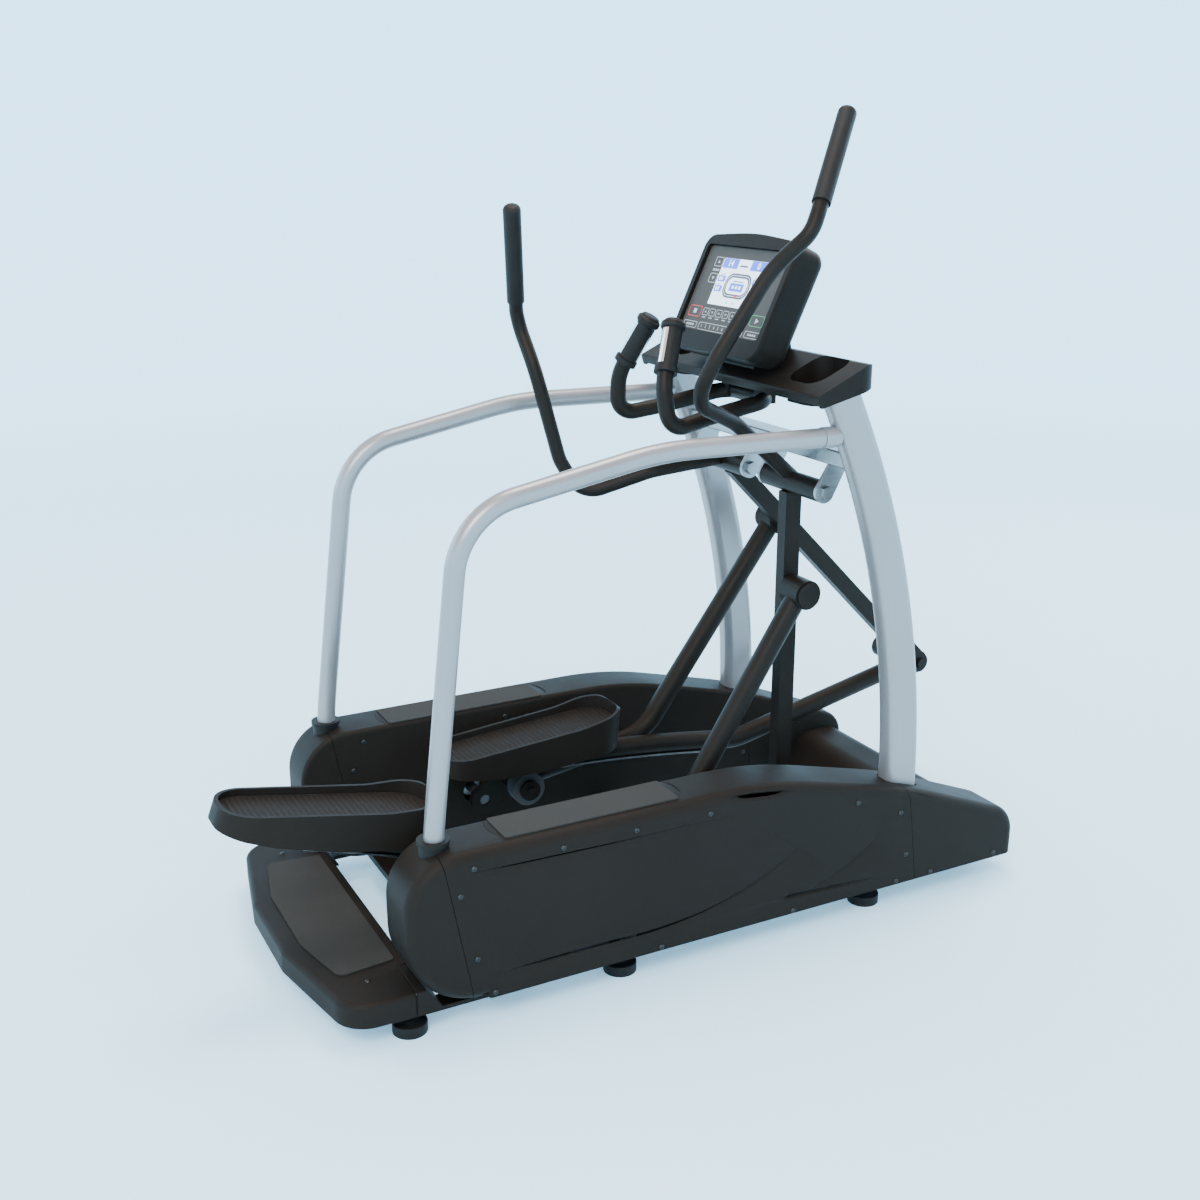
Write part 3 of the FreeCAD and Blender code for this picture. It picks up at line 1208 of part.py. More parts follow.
for obj in doc.Objects:
    bad = [state for state in obj.State if state in ("Invalid", "Error")]
    if bad:
        raise RuntimeError("%s is %s" % (obj.Label, bad))
for label, obj in parts.items():
    if obj.Shape.isNull() or not obj.Shape.isValid() or obj.Shape.Volume < 1.0:
        raise RuntimeError("%s has no valid shape" % label)

os.makedirs("parts", exist_ok=True)
for label, obj in parts.items():
    obj.Shape.exportStep("parts/%s.step" % label)
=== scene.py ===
import json
import math
import bmesh
import bpy
from mathutils import Matrix, Vector


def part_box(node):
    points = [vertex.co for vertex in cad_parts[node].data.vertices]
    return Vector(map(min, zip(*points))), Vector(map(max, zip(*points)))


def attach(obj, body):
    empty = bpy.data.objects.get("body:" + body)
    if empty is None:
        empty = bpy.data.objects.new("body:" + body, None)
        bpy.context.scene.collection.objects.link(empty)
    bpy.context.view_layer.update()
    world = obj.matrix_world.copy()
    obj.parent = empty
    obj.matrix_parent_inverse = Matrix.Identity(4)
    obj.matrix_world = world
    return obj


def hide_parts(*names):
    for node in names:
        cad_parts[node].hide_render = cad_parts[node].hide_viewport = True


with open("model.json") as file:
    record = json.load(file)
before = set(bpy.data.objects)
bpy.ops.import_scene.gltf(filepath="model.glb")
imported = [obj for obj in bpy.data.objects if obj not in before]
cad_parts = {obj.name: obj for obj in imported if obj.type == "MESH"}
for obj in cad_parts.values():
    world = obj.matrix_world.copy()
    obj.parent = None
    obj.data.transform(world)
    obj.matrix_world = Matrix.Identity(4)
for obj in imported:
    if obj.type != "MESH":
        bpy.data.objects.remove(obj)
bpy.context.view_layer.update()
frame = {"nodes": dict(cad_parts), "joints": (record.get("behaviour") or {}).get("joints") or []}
nodes = frame["nodes"]
SIDES = {"right": -1, "left": 1}
MM = 0.001


# ---------------------------------------------------------------- materials

def node_set(name):
    """A new node material: the material, its tree and its shader."""
    material = bpy.data.materials.new(name)
    material.use_nodes = True
    return material, material.node_tree, material.node_tree.nodes["Principled BSDF"]


def add(tree, kind, **values):
    """A new shader node, with input sockets set by name."""
    node = tree.nodes.new(kind)
    for key, value in values.items():
        if key in node.inputs:
            node.inputs[key].default_value = value
        else:
            setattr(node, key, value)
    return node


def remap(tree, value, source, target):
    """A node output carried in proportion from one range to another."""
    node = add(tree, "ShaderNodeMapRange", **{"From Min": source[0], "From Max": source[1],
                                              "To Min": target[0], "To Max": target[1]})
    tree.links.new(value, node.inputs["Value"])
    return node.outputs["Result"]


def shade(colour, factor):
    return tuple(min(1.0, channel * factor) for channel in colour) + (1.0,)


# the part of a noise that carries a change, the strength of the speckle over it,
# the turn of the normal that counts as an edge, and how much lighter the painted highlight on an edge is
NOISE_SPAN = (0.3, 0.7)
SPECKLE_SPAN = (0.55, 1.25)
EDGE_SPAN = (0.985, 0.85)
EDGE_HIGHLIGHT = 2.4
# gloss of the dark pieces, warm enough to answer the blue of the floor
WARM = (1.0, 0.84, 0.74, 1.0)


def finish(name, colour, roughness, metallic=0.0, tint=0.18, tint_scale=9.0, spread=0.06,
           grain=700.0, depth=0.05, stretch=(1, 1, 1), pattern="noise", edge=0.0, flake=0.0,
           coat=0.0, coat_roughness=0.2, specular=0.5, bevel=0.6, glow=0.0,
           gloss_tint=(1.0, 1.0, 1.0, 1.0)):
    """A surface with a slow change of tone, a fine relief (depth in mm) and softened edges, on which edge
    sets the strength of a painted highlight.
    flake darkens the hollows of the relief, and glow lights the surface in its own colour."""
    material, tree, shader = node_set(name)
    link = tree.links.new
    shader.inputs["Metallic"].default_value = metallic
    shader.inputs["Coat Weight"].default_value = coat
    shader.inputs["Coat Roughness"].default_value = coat_roughness
    shader.inputs["Specular IOR Level"].default_value = specular
    shader.inputs["Specular Tint"].default_value = gloss_tint
    shader.inputs["Emission Color"].default_value = shade(colour, 1.0)
    shader.inputs["Emission Strength"].default_value = glow
    place = add(tree, "ShaderNodeTexCoord")
    mapping = add(tree, "ShaderNodeMapping", Scale=stretch)
    link(place.outputs["Object"], mapping.inputs["Vector"])
    slow = add(tree, "ShaderNodeTexNoise", Scale=tint_scale, Detail=5.0, Roughness=0.6)
    link(mapping.outputs["Vector"], slow.inputs["Vector"])
    tone = add(tree, "ShaderNodeValToRGB")
    for stop, position, factor in zip(tone.color_ramp.elements, NOISE_SPAN, (1.0 - tint, 1.0 + tint)):
        stop.position, stop.color = position, shade(colour, factor)
    link(slow.outputs["Fac"], tone.inputs["Fac"])
    fine = add(tree, "ShaderNodeTexVoronoi" if pattern == "cells" else "ShaderNodeTexNoise", Scale=grain)
    link(mapping.outputs["Vector"], fine.inputs["Vector"])
    height = fine.outputs["Distance" if pattern == "cells" else "Fac"]
    speckle = add(tree, "ShaderNodeMixRGB", blend_type="MULTIPLY")
    speckle.inputs["Fac"].default_value = flake
    link(tone.outputs["Color"], speckle.inputs["Color1"])
    link(remap(tree, height, NOISE_SPAN, SPECKLE_SPAN), speckle.inputs["Color2"])
    colour_out = speckle.outputs["Color"]
    link(remap(tree, slow.outputs["Fac"], NOISE_SPAN, (roughness - spread, roughness + spread)),
         shader.inputs["Roughness"])
    bump = add(tree, "ShaderNodeBump", Strength=1.0, Distance=depth * MM)
    link(height, bump.inputs["Height"])
    if bevel:
        soft = add(tree, "ShaderNodeBevel", samples=4, Radius=bevel * MM)
        link(soft.outputs["Normal"], bump.inputs["Normal"])
        if edge:
            flat = add(tree, "ShaderNodeNewGeometry")
            dot = add(tree, "ShaderNodeVectorMath", operation="DOT_PRODUCT")
            link(soft.outputs["Normal"], dot.inputs[0])
            link(flat.outputs["Normal"], dot.inputs[1])
            # painted highlight: the colour is drawn lighter on rounded edges, where they catch the light
            edge_highlight = add(tree, "ShaderNodeMixRGB", blend_type="MIX", Color2=shade(colour, EDGE_HIGHLIGHT))
            link(remap(tree, dot.outputs["Value"], EDGE_SPAN, (0.0, edge)), edge_highlight.inputs["Fac"])
            link(colour_out, edge_highlight.inputs["Color1"])
            colour_out = edge_highlight.outputs["Color"]
    link(bump.outputs["Normal"], shader.inputs["Normal"])
    link(colour_out, shader.inputs["Base Color"])
    return material


FINISHES = {
    "frame_silver": finish("silver_paint", (0.270, 0.250, 0.250), 0.36, metallic=0.5, tint=0.05,
                           tint_scale=4.0, grain=1600.0, depth=0.02, flake=0.16, coat=0.35, edge=0.25),
    "frame_black": finish("black_powder_coat", (0.0085, 0.0066, 0.0054), 0.46, tint=0.2, tint_scale=14.0,
                          grain=620.0, depth=0.09, edge=0.2, specular=0.14, gloss_tint=WARM),
    "cover_plastic": finish("cover_moulding", (0.0125, 0.0097, 0.0080), 0.52, tint=0.10, tint_scale=5.0,
                            grain=560.0, depth=0.16, flake=0.22, edge=0.3, specular=0.08, bevel=1.2,
                            gloss_tint=WARM),
    "pad_rubber": finish("pad_rubber", (0.030, 0.028, 0.0255), 0.75, tint=0.10, tint_scale=12.0,
                         grain=420.0, depth=0.22, pattern="cells", flake=0.12, edge=0.15, specular=0.10,
                         gloss_tint=WARM),
    "black_rubber": finish("black_rubber", (0.008, 0.008, 0.008), 0.55, tint=0.2, tint_scale=20.0,
                           grain=900.0, depth=0.08, flake=0.15, edge=0.2, specular=0.18,
                           gloss_tint=WARM),
    "bright_steel": finish("ground_steel", (0.30, 0.30, 0.30), 0.36, metallic=1.0, tint=0.10,
                           grain=260.0, depth=0.012, stretch=(1, 9, 9), edge=0.2),
    "screw_steel": finish("dark_zinc_steel", (0.045, 0.043, 0.042), 0.36, metallic=1.0, tint=0.10,
                          tint_scale=90.0, grain=1200.0, depth=0.01, bevel=0.3),
    "roller_polymer": finish("roller_polymer", (0.035, 0.034, 0.033), 0.40, tint=0.18, tint_scale=30.0,
                             grain=800.0, depth=0.04, edge=0.3),
    "cast": finish("cast_iron", (0.10, 0.10, 0.10), 0.45, metallic=0.8, tint=0.2, tint_scale=40.0,
                   grain=500.0, depth=0.12, edge=0.3),
    "belt_rubber": finish("belt_rubber", (0.02, 0.02, 0.02), 0.65, tint=0.2, tint_scale=60.0,
                          grain=700.0, depth=0.05),
    "console_black": finish("console_moulding", (0.0090, 0.0070, 0.0058), 0.46, tint=0.12, tint_scale=8.0,
                            grain=900.0, depth=0.06, flake=0.10, edge=0.2, specular=0.10,
                            gloss_tint=WARM),
    "key_panel": finish("key_overlay", (0.058, 0.052, 0.048), 0.45, tint=0.05, tint_scale=6.0,
                        grain=1500.0, depth=0.01, specular=0.10, bevel=0.2, gloss_tint=WARM),
    "display": finish("display_window", (0.78, 0.84, 0.95), 0.18, tint=0.04, tint_scale=10.0,
                      grain=2400.0, depth=0.003, coat=0.3, coat_roughness=0.1, bevel=0.0,
                      glow=1.1),
    "sensor_chrome": finish("sensor_chrome", (0.82, 0.82, 0.83), 0.12, metallic=1.0, tint=0.03,
                            grain=300.0, depth=0.002, bevel=0.0),
    "tread_rubber": finish("tread_rubber", (0.012, 0.0098, 0.0084), 0.62, tint=0.15, tint_scale=30.0,
                           grain=900.0, depth=0.05, edge=0.25, specular=0.12, bevel=0.5,
                           gloss_tint=WARM),
}

# colour and glow of each print on the console
PRINTS = {"pale": ((0.42, 0.42, 0.42), 0.0), "red": ((0.62, 0.03, 0.03), 0.0),
          "green": ((0.05, 0.28, 0.09), 0.0), "blue": ((0.05, 0.12, 0.62), 0.9),
          "dark": ((0.07, 0.07, 0.10), 0.0), "white": ((0.9, 0.9, 0.9), 1.2)}
for print_name, (print_colour, print_glow) in PRINTS.items():
    slot = "print_" + print_name
    FINISHES[slot] = finish(slot, print_colour, 0.4, tint=0.05, tint_scale=40.0, grain=2000.0,
                            depth=0.002, bevel=0.0, glow=print_glow)

# the CAD node groups and the slot that each takes its finish from
NODE_SLOTS = {
    "frame_silver": ("upright_*", "handrail_*", "handrail_sleeves"),
    "frame_black": ("base_frame", "swing_arm_*", "handlebar_*", "pedal_arm_*",
                    "drawbar_*", "fixed_handlebar", "crank_arm_*", "roller_pin_*"),
    "cover_plastic": ("cover_rear_*", "cover_main_*", "cover_front_*", "front_hood", "rear_step",
                      "foot_pedal_*", "power_inlet"),
    "pad_rubber": ("step_pads", "rear_step_pad", "pedal_tread_*"),
    "black_rubber": ("levelling_feet", "handrail_collars", "grip_*", "pulse_grips"),
    "bright_steel": ("pivot_brackets", "pivot_crossbar", "pivot_axles", "roller_track_*",
                     "shaft_bearings", "cross_shaft"),
    "screw_steel": ("pan_screws",),
    "roller_polymer": ("track_roller_*", "pivot_bushes"),
    "cast": ("flywheel", "crank_pulley_*"),
    "belt_rubber": ("drive_belts",),
    "console_black": ("console_tray", "console_bezel", "console_back"),
    "key_panel": ("console_panel",),
    "display": ("display_glass",),
    "sensor_chrome": ("pulse_sensors",),
}


def paint(obj, material):
    """Give the whole object one material."""
    obj.data.materials.clear()
    obj.data.materials.append(material)
    for polygon in getattr(obj.data, "polygons", []):
        polygon.material_index = 0
    return obj


def matches(name, pattern):
    """Whether a node's name is the pattern, whose * stands for left or right."""
    return name in (pattern, pattern.replace("*", "left"), pattern.replace("*", "right"))


SLOT_OF = {}
for slot, patterns in NODE_SLOTS.items():
    for pattern in patterns:
        for name in nodes:
            if matches(name, pattern):
                SLOT_OF[name] = slot
                paint(nodes[name], FINISHES[slot])


# ---------------------------------------------------------------- mesh helpers

WELD = 2e-6


def piece(name, mesh, body, slot, material=None, replaces=()):
    """Link a finished mesh as a piece that rides on a body."""
    obj = bpy.data.objects.new(name, mesh)
    bpy.context.scene.collection.objects.link(obj)
    paint(obj, material or FINISHES[slot])
    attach(obj, body)
    if replaces:
        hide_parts(*replaces)
    return obj


def mesh_of(name, bm, smooth_angle=35.0):
    """A mesh from a bmesh, smooth shaded except across edges sharper than the angle."""
    bmesh.ops.recalc_face_normals(bm, faces=bm.faces)
    for face in bm.faces:
        face.smooth = True
    for edge in bm.edges:
        edge.smooth = edge.calc_face_angle(0.0) < math.radians(smooth_angle)
    mesh = bpy.data.meshes.new(name)
    bm.to_mesh(mesh)
    bm.free()
    return mesh


# ---------------------------------------------------------------- side covers with their moulded relief

DATUM = -594.64
COVER_FACE = 403.0
COVER_TOP = 374.0


def smooth_path(stations, steps=8):
    """Points through the stations, rounded by a Catmull-Rom curve; a station is a tuple of numbers."""
    rows = [stations[0]] + list(stations) + [stations[-1]]
    result = []
    for k in range(1, len(rows) - 2):
        for step in range(steps):
            t = step / steps
            result.append(tuple(
                0.5 * (2 * b + (c - a) * t + (2 * a - 5 * b + 4 * c - d) * t * t
                       + (3 * b - a - 3 * c + d) * t ** 3)
                for a, b, c, d in zip(rows[k - 1], rows[k], rows[k + 1], rows[k + 2])))
    result.append(tuple(rows[-2]))
    return result


def groove(stations, to_frame, lift=2.0):
    """A cutter for a groove in a face. A station is (a, b, depth, width on the left, on the right) in mm
    on the face; to_frame turns (a, b, height above the face) into a point of the row frame."""
    path = smooth_path(stations)
    bm = bmesh.new()
    rings = []
    for k, (a, b, depth, left, right) in enumerate(path):
        before, after = path[max(k - 1, 0)], path[min(k + 1, len(path) - 1)]
        along = Vector((after[0] - before[0], after[1] - before[1])).normalized()
        across = Vector((-along.y, along.x))
        ring = []
        for offset, height in ((left, lift), (0.0, -depth), (-right, lift)):
            ring.append(bm.verts.new(to_frame(a + across.x * offset, b + across.y * offset, height)))
        rings.append(ring)
    for low, high in zip(rings, rings[1:]):
        for k in range(3):
            bm.faces.new((low[k], low[(k + 1) % 3], high[(k + 1) % 3], high[k]))
    bm.faces.new(rings[0][::-1])
    bm.faces.new(rings[-1])
    return mesh_of("cutter", bm)


def outer_face(side):
    return lambda a, b, height: Vector(((DATUM + a) * MM, side * (COVER_FACE + height) * MM, b * MM))


def top_face(side):
    return lambda a, b, height: Vector(((DATUM + a) * MM, side * b * MM, (COVER_TOP + height) * MM))


# (distance along, height, depth, width above, width below) on the outer face
UPPER_LINE = [(22, 338, -1.5, 3, 5), (60, 334, 1.6, 4, 14), (111, 331, 4.0, 5, 22),
              (249, 328, 4.4, 5, 24), (393, 325, 4.0, 5, 24), (535, 325, 2.6, 5, 18),
              (693, 324, -1.2, 3, 10)]
LENS = [(586, 366, -1.0, 8, 6), (620, 363, 6.0, 14, 10), (668, 359, 9.0, 17, 14), (732, 352, 8.0, 16, 13),
        (780, 347, 4.5, 10, 8), (818, 343, -1.0, 5, 5)]
FRONT_CREASE = [(1030, 298, 1.5, 5, 5), (1070, 285, 6.0, 9, 8), (1120, 266, 8.0, 11, 10),
                (1165, 248, 5.5, 8, 8), (1200, 232, 1.0, 4, 4)]
SWOOSH = [(84, 98, -1.5, 3, 5), (126, 104, 2.6, 5, 12), (188, 106, 5.0, 6, 16), (264, 107, 5.4, 7, 17),
          (351, 106, 5.4, 7, 17), (431, 105, 5.4, 7, 16), (503, 109, 5.0, 7, 15), (577, 119, 4.4, 6, 13),
          (652, 139, 3.8, 5, 11), (719, 165, 3.0, 5, 10), (766, 189, 2.2, 4, 8), (826, 224, -1.5, 3, 4)]
FRONT_SLOT = [(766, 96, 1.0, 7, 6), (784, 97, 5.5, 11, 8), (831, 95, 5.5, 11, 8), (933, 90, 4.0, 9, 7),
              (1056, 86, -1.5, 4, 4)]
FRONT_ARC = [(806, 98, -1.5, 3, 3), (850, 106, 2.4, 4, 15), (910, 126, 3.2, 4, 17),
             (971, 158, 2.6, 4, 15), (1032, 208, -1.5, 3, 4)]
REAR_ARC = [(58, 332, -1.5, 8, 30), (90, 306, 1.6, 16, 62), (112, 258, 2.8, 22, 74),
            (126, 196, 2.8, 22, 74), (128, 142, 1.8, 18, 56), (108, 100, -1.5, 8, 24)]
OUTER_RELIEF = (UPPER_LINE, LENS, FRONT_CREASE, SWOOSH, FRONT_SLOT, FRONT_ARC, REAR_ARC)
# crescents in the top, at both ends of the step pad
TOP_RELIEF = ([(131, 272, -1.0, 2, 3), (120, 300, 2.0, 3, 10),
               (118, 330, 2.2, 3, 11), (131, 376, -1.0, 2, 3)],
              [(519, 278, -1.0, 3, 2), (541, 304, 2.2, 10, 3),
               (540, 345, 2.2, 10, 3), (520, 376, -1.0, 3, 2)])


# the lower front corner of a cover, where its rounded wall closes, in mm
NOSE_CORNER = (DATUM + 1397.0, 377.0)
NOSE_OUTER, NOSE_INNER = 25.7, 22.5
NOSE_LOW, NOSE_HIGH = 55.2, 78.0
NOSE_START, NOSE_SWEEP = 20.0, 50.0


def nose_corner(side):
    """A short piece of curved wall that closes the rounded front corner of a cover down to its edge."""
    bm = bmesh.new()
    steps = 12
    rings = []
    for step in range(steps + 1):
        angle = math.radians(NOSE_START + NOSE_SWEEP * step / steps)
        ring = []
        for radius, height in ((NOSE_OUTER, NOSE_LOW), (NOSE_OUTER, NOSE_HIGH),
                               (NOSE_INNER, NOSE_HIGH), (NOSE_INNER, NOSE_LOW)):
            along = NOSE_CORNER[0] + radius * math.cos(angle)
            out = side * (NOSE_CORNER[1] + radius * math.sin(angle))
            ring.append(bm.verts.new((along * MM, out * MM, height * MM)))
        rings.append(ring)
    for low, high in zip(rings, rings[1:]):
        for k in range(4):
            bm.faces.new((low[k], low[(k + 1) % 4], high[(k + 1) % 4], high[k]))
    bm.faces.new(rings[0][::-1])
    bm.faces.new(rings[-1])
    return mesh_of("corner", bm)


def carved(name, cutters, replaced, additions=()):
    """A copy of a CAD node's mesh with the additions joined to it and the cutters taken out."""
    bm = bmesh.new()
    bm.from_mesh(nodes[replaced].data)
    bmesh.ops.remove_doubles(bm, verts=bm.verts, dist=WELD)
    mesh = bpy.data.meshes.new(name + "_blank")
    bm.to_mesh(mesh)
    bm.free()
    blank = bpy.data.objects.new(name + "_blank", mesh)
    bpy.context.scene.collection.objects.link(blank)
    tools = []
    changes = [("UNION", mesh) for mesh in additions] + [("DIFFERENCE", mesh) for mesh in cutters]
    for operation, shape in changes:
        tool = bpy.data.objects.new("tool", shape)
        bpy.context.scene.collection.objects.link(tool)
        tools.append(tool)
        step = blank.modifiers.new("step", "BOOLEAN")
        step.operation, step.solver, step.object = operation, "EXACT", tool
    bpy.context.view_layer.update()
    result = bpy.data.meshes.new_from_object(blank.evaluated_get(bpy.context.evaluated_depsgraph_get()))
    for obj in tools + [blank]:
        bpy.data.objects.remove(obj)
    bm = bmesh.new()
    bm.from_mesh(result)
    return piece(name, mesh_of(name, bm, 28.0), "frame", SLOT_OF[replaced], replaces=(replaced,))


def span_of(stations, index):
    return min(row[index] for row in stations), max(row[index] for row in stations)


def covers():
    """Each moulding gets the part of the relief that reaches into it."""
    for side_name, side in SIDES.items():
        for prefix in ("cover_rear_", "cover_main_", "cover_front_"):
            node = prefix + side_name
            low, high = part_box(node)
            cutters = []
            for reliefs, place in ((OUTER_RELIEF, outer_face(side)), (TOP_RELIEF, top_face(side))):
                for stations in reliefs:
                    start, end = span_of(stations, 0)
                    if (DATUM + end) * MM > low.x and (DATUM + start) * MM < high.x:
                        cutters.append(groove(stations, place))
            corner = [nose_corner(side)] if prefix == "cover_front_" else []
            if cutters or corner:
                carved("moulded_" + node, cutters, node, corner)


covers()


# ---------------------------------------------------------------- foot pedal treads

# distances in mm; along the pedal they are measured back from the foot joint
PEDAL_TOE, PEDAL_HEEL = 889.0, 1332.0
PEDAL_MIDDLE = 128.0
PEDAL_SLOPE = {"right": math.radians(20.39), "left": math.radians(5.17)}
HALF_AT_TOE, HALF_TAPER = 82.5, 6.0
TOE_STRAIGHT, HEEL_STRAIGHT = 9.0, 17.0
TREAD_EDGE = 8.5
TREAD_DEPTH = 4.8
LEVEL_PLACE, LEVEL, LEVEL_TILT = 1100.0, -102.0, 0.167
BORDER_ROWS, BORDER_SHARE = 10, 0.94
RIB_COUNT = 35
RIB_DEPTH = 2.4


def tread_height(u):
    return LEVEL + (LEVEL_PLACE - u) * LEVEL_TILT


def tread_half_width(u):
    """Half the width of the tread at u, with the rounded ends of the pedal."""
    toe, heel = PEDAL_TOE + TREAD_EDGE, PEDAL_HEEL - TREAD_EDGE
    half_toe = HALF_AT_TOE - TREAD_EDGE
    half = half_toe - HALF_TAPER * (u - toe) / (heel - toe)
    for distance, corner in ((u - toe, half_toe - TOE_STRAIGHT), (heel - u, half_toe - HEEL_STRAIGHT)):
        if distance < corner:
            half -= corner - math.sqrt(max(corner ** 2 - (corner - distance) ** 2, 0.0))
    return half


def treads():
    """Rubber tread with ribs across the foot and a plain border."""
    across = [-1.0, -0.955, -0.93] + [k / 8 * 0.92 for k in range(-8, 9)] + [0.93, 0.955, 1.0]
    per_rib = 8
    start, end = PEDAL_TOE + TREAD_EDGE + 1.0, PEDAL_HEEL - TREAD_EDGE - 1.0
    rows = RIB_COUNT * per_rib
    for side_name, side in SIDES.items():
        joint = next(j for j in frame["joints"] if j["name"] == side_name + "_pedal")
        foot = Vector(joint["pos_m"])
        slope = PEDAL_SLOPE[side_name]
        back = Vector((-math.cos(slope), 0.0, math.sin(slope)))
        up = Vector((math.sin(slope), 0.0, math.cos(slope)))
        bm = bmesh.new()
        top, bottom = [], []
        for row in range(rows + 1):
            u = start + (end - start) * row / rows
            wave = 0.5 - 0.5 * math.cos(2 * math.pi * (row % per_rib) / per_rib)
            rib = min(1.0, max(0.0, 1.6 * wave - 0.3))  # a wave with its crests and hollows cut flat
            half = tread_half_width(u)
            border = not BORDER_ROWS < row < rows - BORDER_ROWS
            line, under = [], []
            for share in across:
                drop = 0.0 if abs(share) > BORDER_SHARE or border else RIB_DEPTH * rib
                y = share * half + side * PEDAL_MIDDLE
                place = Vector((foot.x, y * MM, foot.z)) + back * u * MM
                line.append(bm.verts.new(place + up * (tread_height(u) - drop) * MM))
                under.append(bm.verts.new(place + up * (tread_height(u) - TREAD_DEPTH) * MM))
            top.append(line)
            bottom.append(under)
        last = len(across) - 1
        for k in range(rows):
            for c in range(last):
                bm.faces.new((top[k][c], top[k][c + 1], top[k + 1][c + 1], top[k + 1][c]))
                bm.faces.new((bottom[k][c], bottom[k + 1][c], bottom[k + 1][c + 1], bottom[k][c + 1]))
            for c in (0, last):
                bm.faces.new((top[k][c], top[k + 1][c], bottom[k + 1][c], bottom[k][c]))
        for k in (0, rows):
            for c in range(last):
                bm.faces.new((top[k][c], bottom[k][c], bottom[k][c + 1], top[k][c + 1]))
        piece("ribbed_tread_" + side_name, mesh_of("ribbed_tread", bm, 40.0), "pedal_arm_" + side_name,
              "pad_rubber", FINISHES["tread_rubber"], ("pedal_tread_" + side_name,))


treads()


# ---------------------------------------------------------------- screw heads

def islands(mesh):
    """The separate shells of a mesh, each as a list of points."""
    bm = bmesh.new()
    bm.from_mesh(mesh)
    bmesh.ops.remove_doubles(bm, verts=bm.verts, dist=WELD)
    seen, found = set(), []
    for vert in bm.verts:
        if vert in seen:
            continue
        seen.add(vert)
        queue, points = [vert], []
        while queue:
            here = queue.pop()
            points.append(here.co.copy())
            for edge in here.link_edges:
                other = edge.other_vert(here)
                if other not in seen:
                    seen.add(other)
                    queue.append(other)
        found.append(points)
    bm.free()
    return found


# (radius, height) in mm, from the middle of the head to its base
HEAD_PROFILE = ((0.0, 3.15), (1.6, 3.1), (3.2, 2.75), (4.6, 2.05), (5.6, 1.05), (5.95, 0.3), (5.95, 0.02))
RECESS_LONG, RECESS_SHORT = 3.1, 0.62
RECESS_FLOOR, RECESS_TOP = 1.5, 4.0
TAPER_LONG, TAPER_SHORT = 0.45, 0.6
# points farther than this from the middle of a plain head, in metres, are on its base
BASE_REACH = 0.0055
TURN_STEP = 0.7


def head_mesh():
    """One pan head with a cross recess, its axis along Z, in metres."""
    bm = bmesh.new()
    sides = 28
    centre = bm.verts.new((0, 0, HEAD_PROFILE[0][1] * MM))
    rings = []
    for radius, height in HEAD_PROFILE[1:]:
        rings.append([bm.verts.new((radius * math.cos(2 * math.pi * k / sides) * MM,
                                    radius * math.sin(2 * math.pi * k / sides) * MM, height * MM))
                      for k in range(sides)])
    for k in range(sides):
        bm.faces.new((centre, rings[0][k], rings[0][(k + 1) % sides]))
        for low, high in zip(rings, rings[1:]):
            bm.faces.new((low[k], high[k], high[(k + 1) % sides], low[(k + 1) % sides]))
    bm.faces.new(rings[-1])
    solid = bpy.data.objects.new("head_blank", mesh_of("head_blank", bm))
    bpy.context.scene.collection.objects.link(solid)
    tools = []
    corners = ((-1, -1), (1, -1), (1, 1), (-1, 1))
    for long, short in ((RECESS_LONG, RECESS_SHORT), (RECESS_SHORT, RECESS_LONG)):
        bm = bmesh.new()
        low = [bm.verts.new((x * long * TAPER_LONG * MM, y * short * TAPER_SHORT * MM,
                             RECESS_FLOOR * MM)) for x, y in corners]
        high = [bm.verts.new((x * long * MM, y * short * MM, RECESS_TOP * MM)) for x, y in corners]
        bm.faces.new(low[::-1])
        bm.faces.new(high)
        for k in range(4):
            bm.faces.new((low[k], low[(k + 1) % 4], high[(k + 1) % 4], high[k]))
        tool = bpy.data.objects.new("recess", mesh_of("recess", bm))
        bpy.context.scene.collection.objects.link(tool)
        tools.append(tool)
        step = solid.modifiers.new("recess", "BOOLEAN")
        step.operation, step.solver, step.object = "DIFFERENCE", "EXACT", tool
    bpy.context.view_layer.update()
    result = bpy.data.meshes.new_from_object(solid.evaluated_get(bpy.context.evaluated_depsgraph_get()))
    for obj in tools + [solid]:
        bpy.data.objects.remove(obj)
    return result


def screw_heads():
    """A detailed head in the place of each plain one."""
    head = head_mesh()
    bm = bmesh.new()
    for k, points in enumerate(islands(nodes["pan_screws"].data)):
        low = Vector([min(p[axis] for p in points) for axis in range(3)])
        high = Vector([max(p[axis] for p in points) for axis in range(3)])
        size = high - low
        axis = min(range(3), key=lambda i: size[i])
        centre = (low + high) / 2
        wide = [p for p in points if (p - centre).length > BASE_REACH]
        base_high = sum(p[axis] for p in wide) / len(wide) > centre[axis]
        outward = Vector((0, 0, 0))
        outward[axis] = -1.0 if base_high else 1.0
        base = centre.copy()
        base[axis] = high[axis] if base_high else low[axis]
        turn = outward.to_track_quat("Z", "Y").to_matrix().to_4x4() @ Matrix.Rotation(TURN_STEP * k, 4, "Z")
        copy = head.copy()
        copy.transform(Matrix.Translation(base) @ turn)
        bm.from_mesh(copy)
        bpy.data.meshes.remove(copy)
    piece("cross_head_screws", mesh_of("cross_head_screws", bm, 32.0), "frame", "screw_steel",
          replaces=("pan_screws",))


screw_heads()


# ---------------------------------------------------------------- pulse contact strips

GRIP_TOP = (682.0, 49.0, 1293.0)
GRIP_FOOT = (630.0, 98.0, 1170.0)
GRIP_LENGTH = 112.0
STRIP_INNER, STRIP_OUTER = 20.8, 22.3
STRIP_START, STRIP_END = 15.0, 91.0
STRIP_HALF_ANGLE = math.radians(20.0)
# directions, on the left grip, in which the palm strip and the finger strip face
STRIP_FACING = ((-0.925, 0.368), (0.736, -0.676))


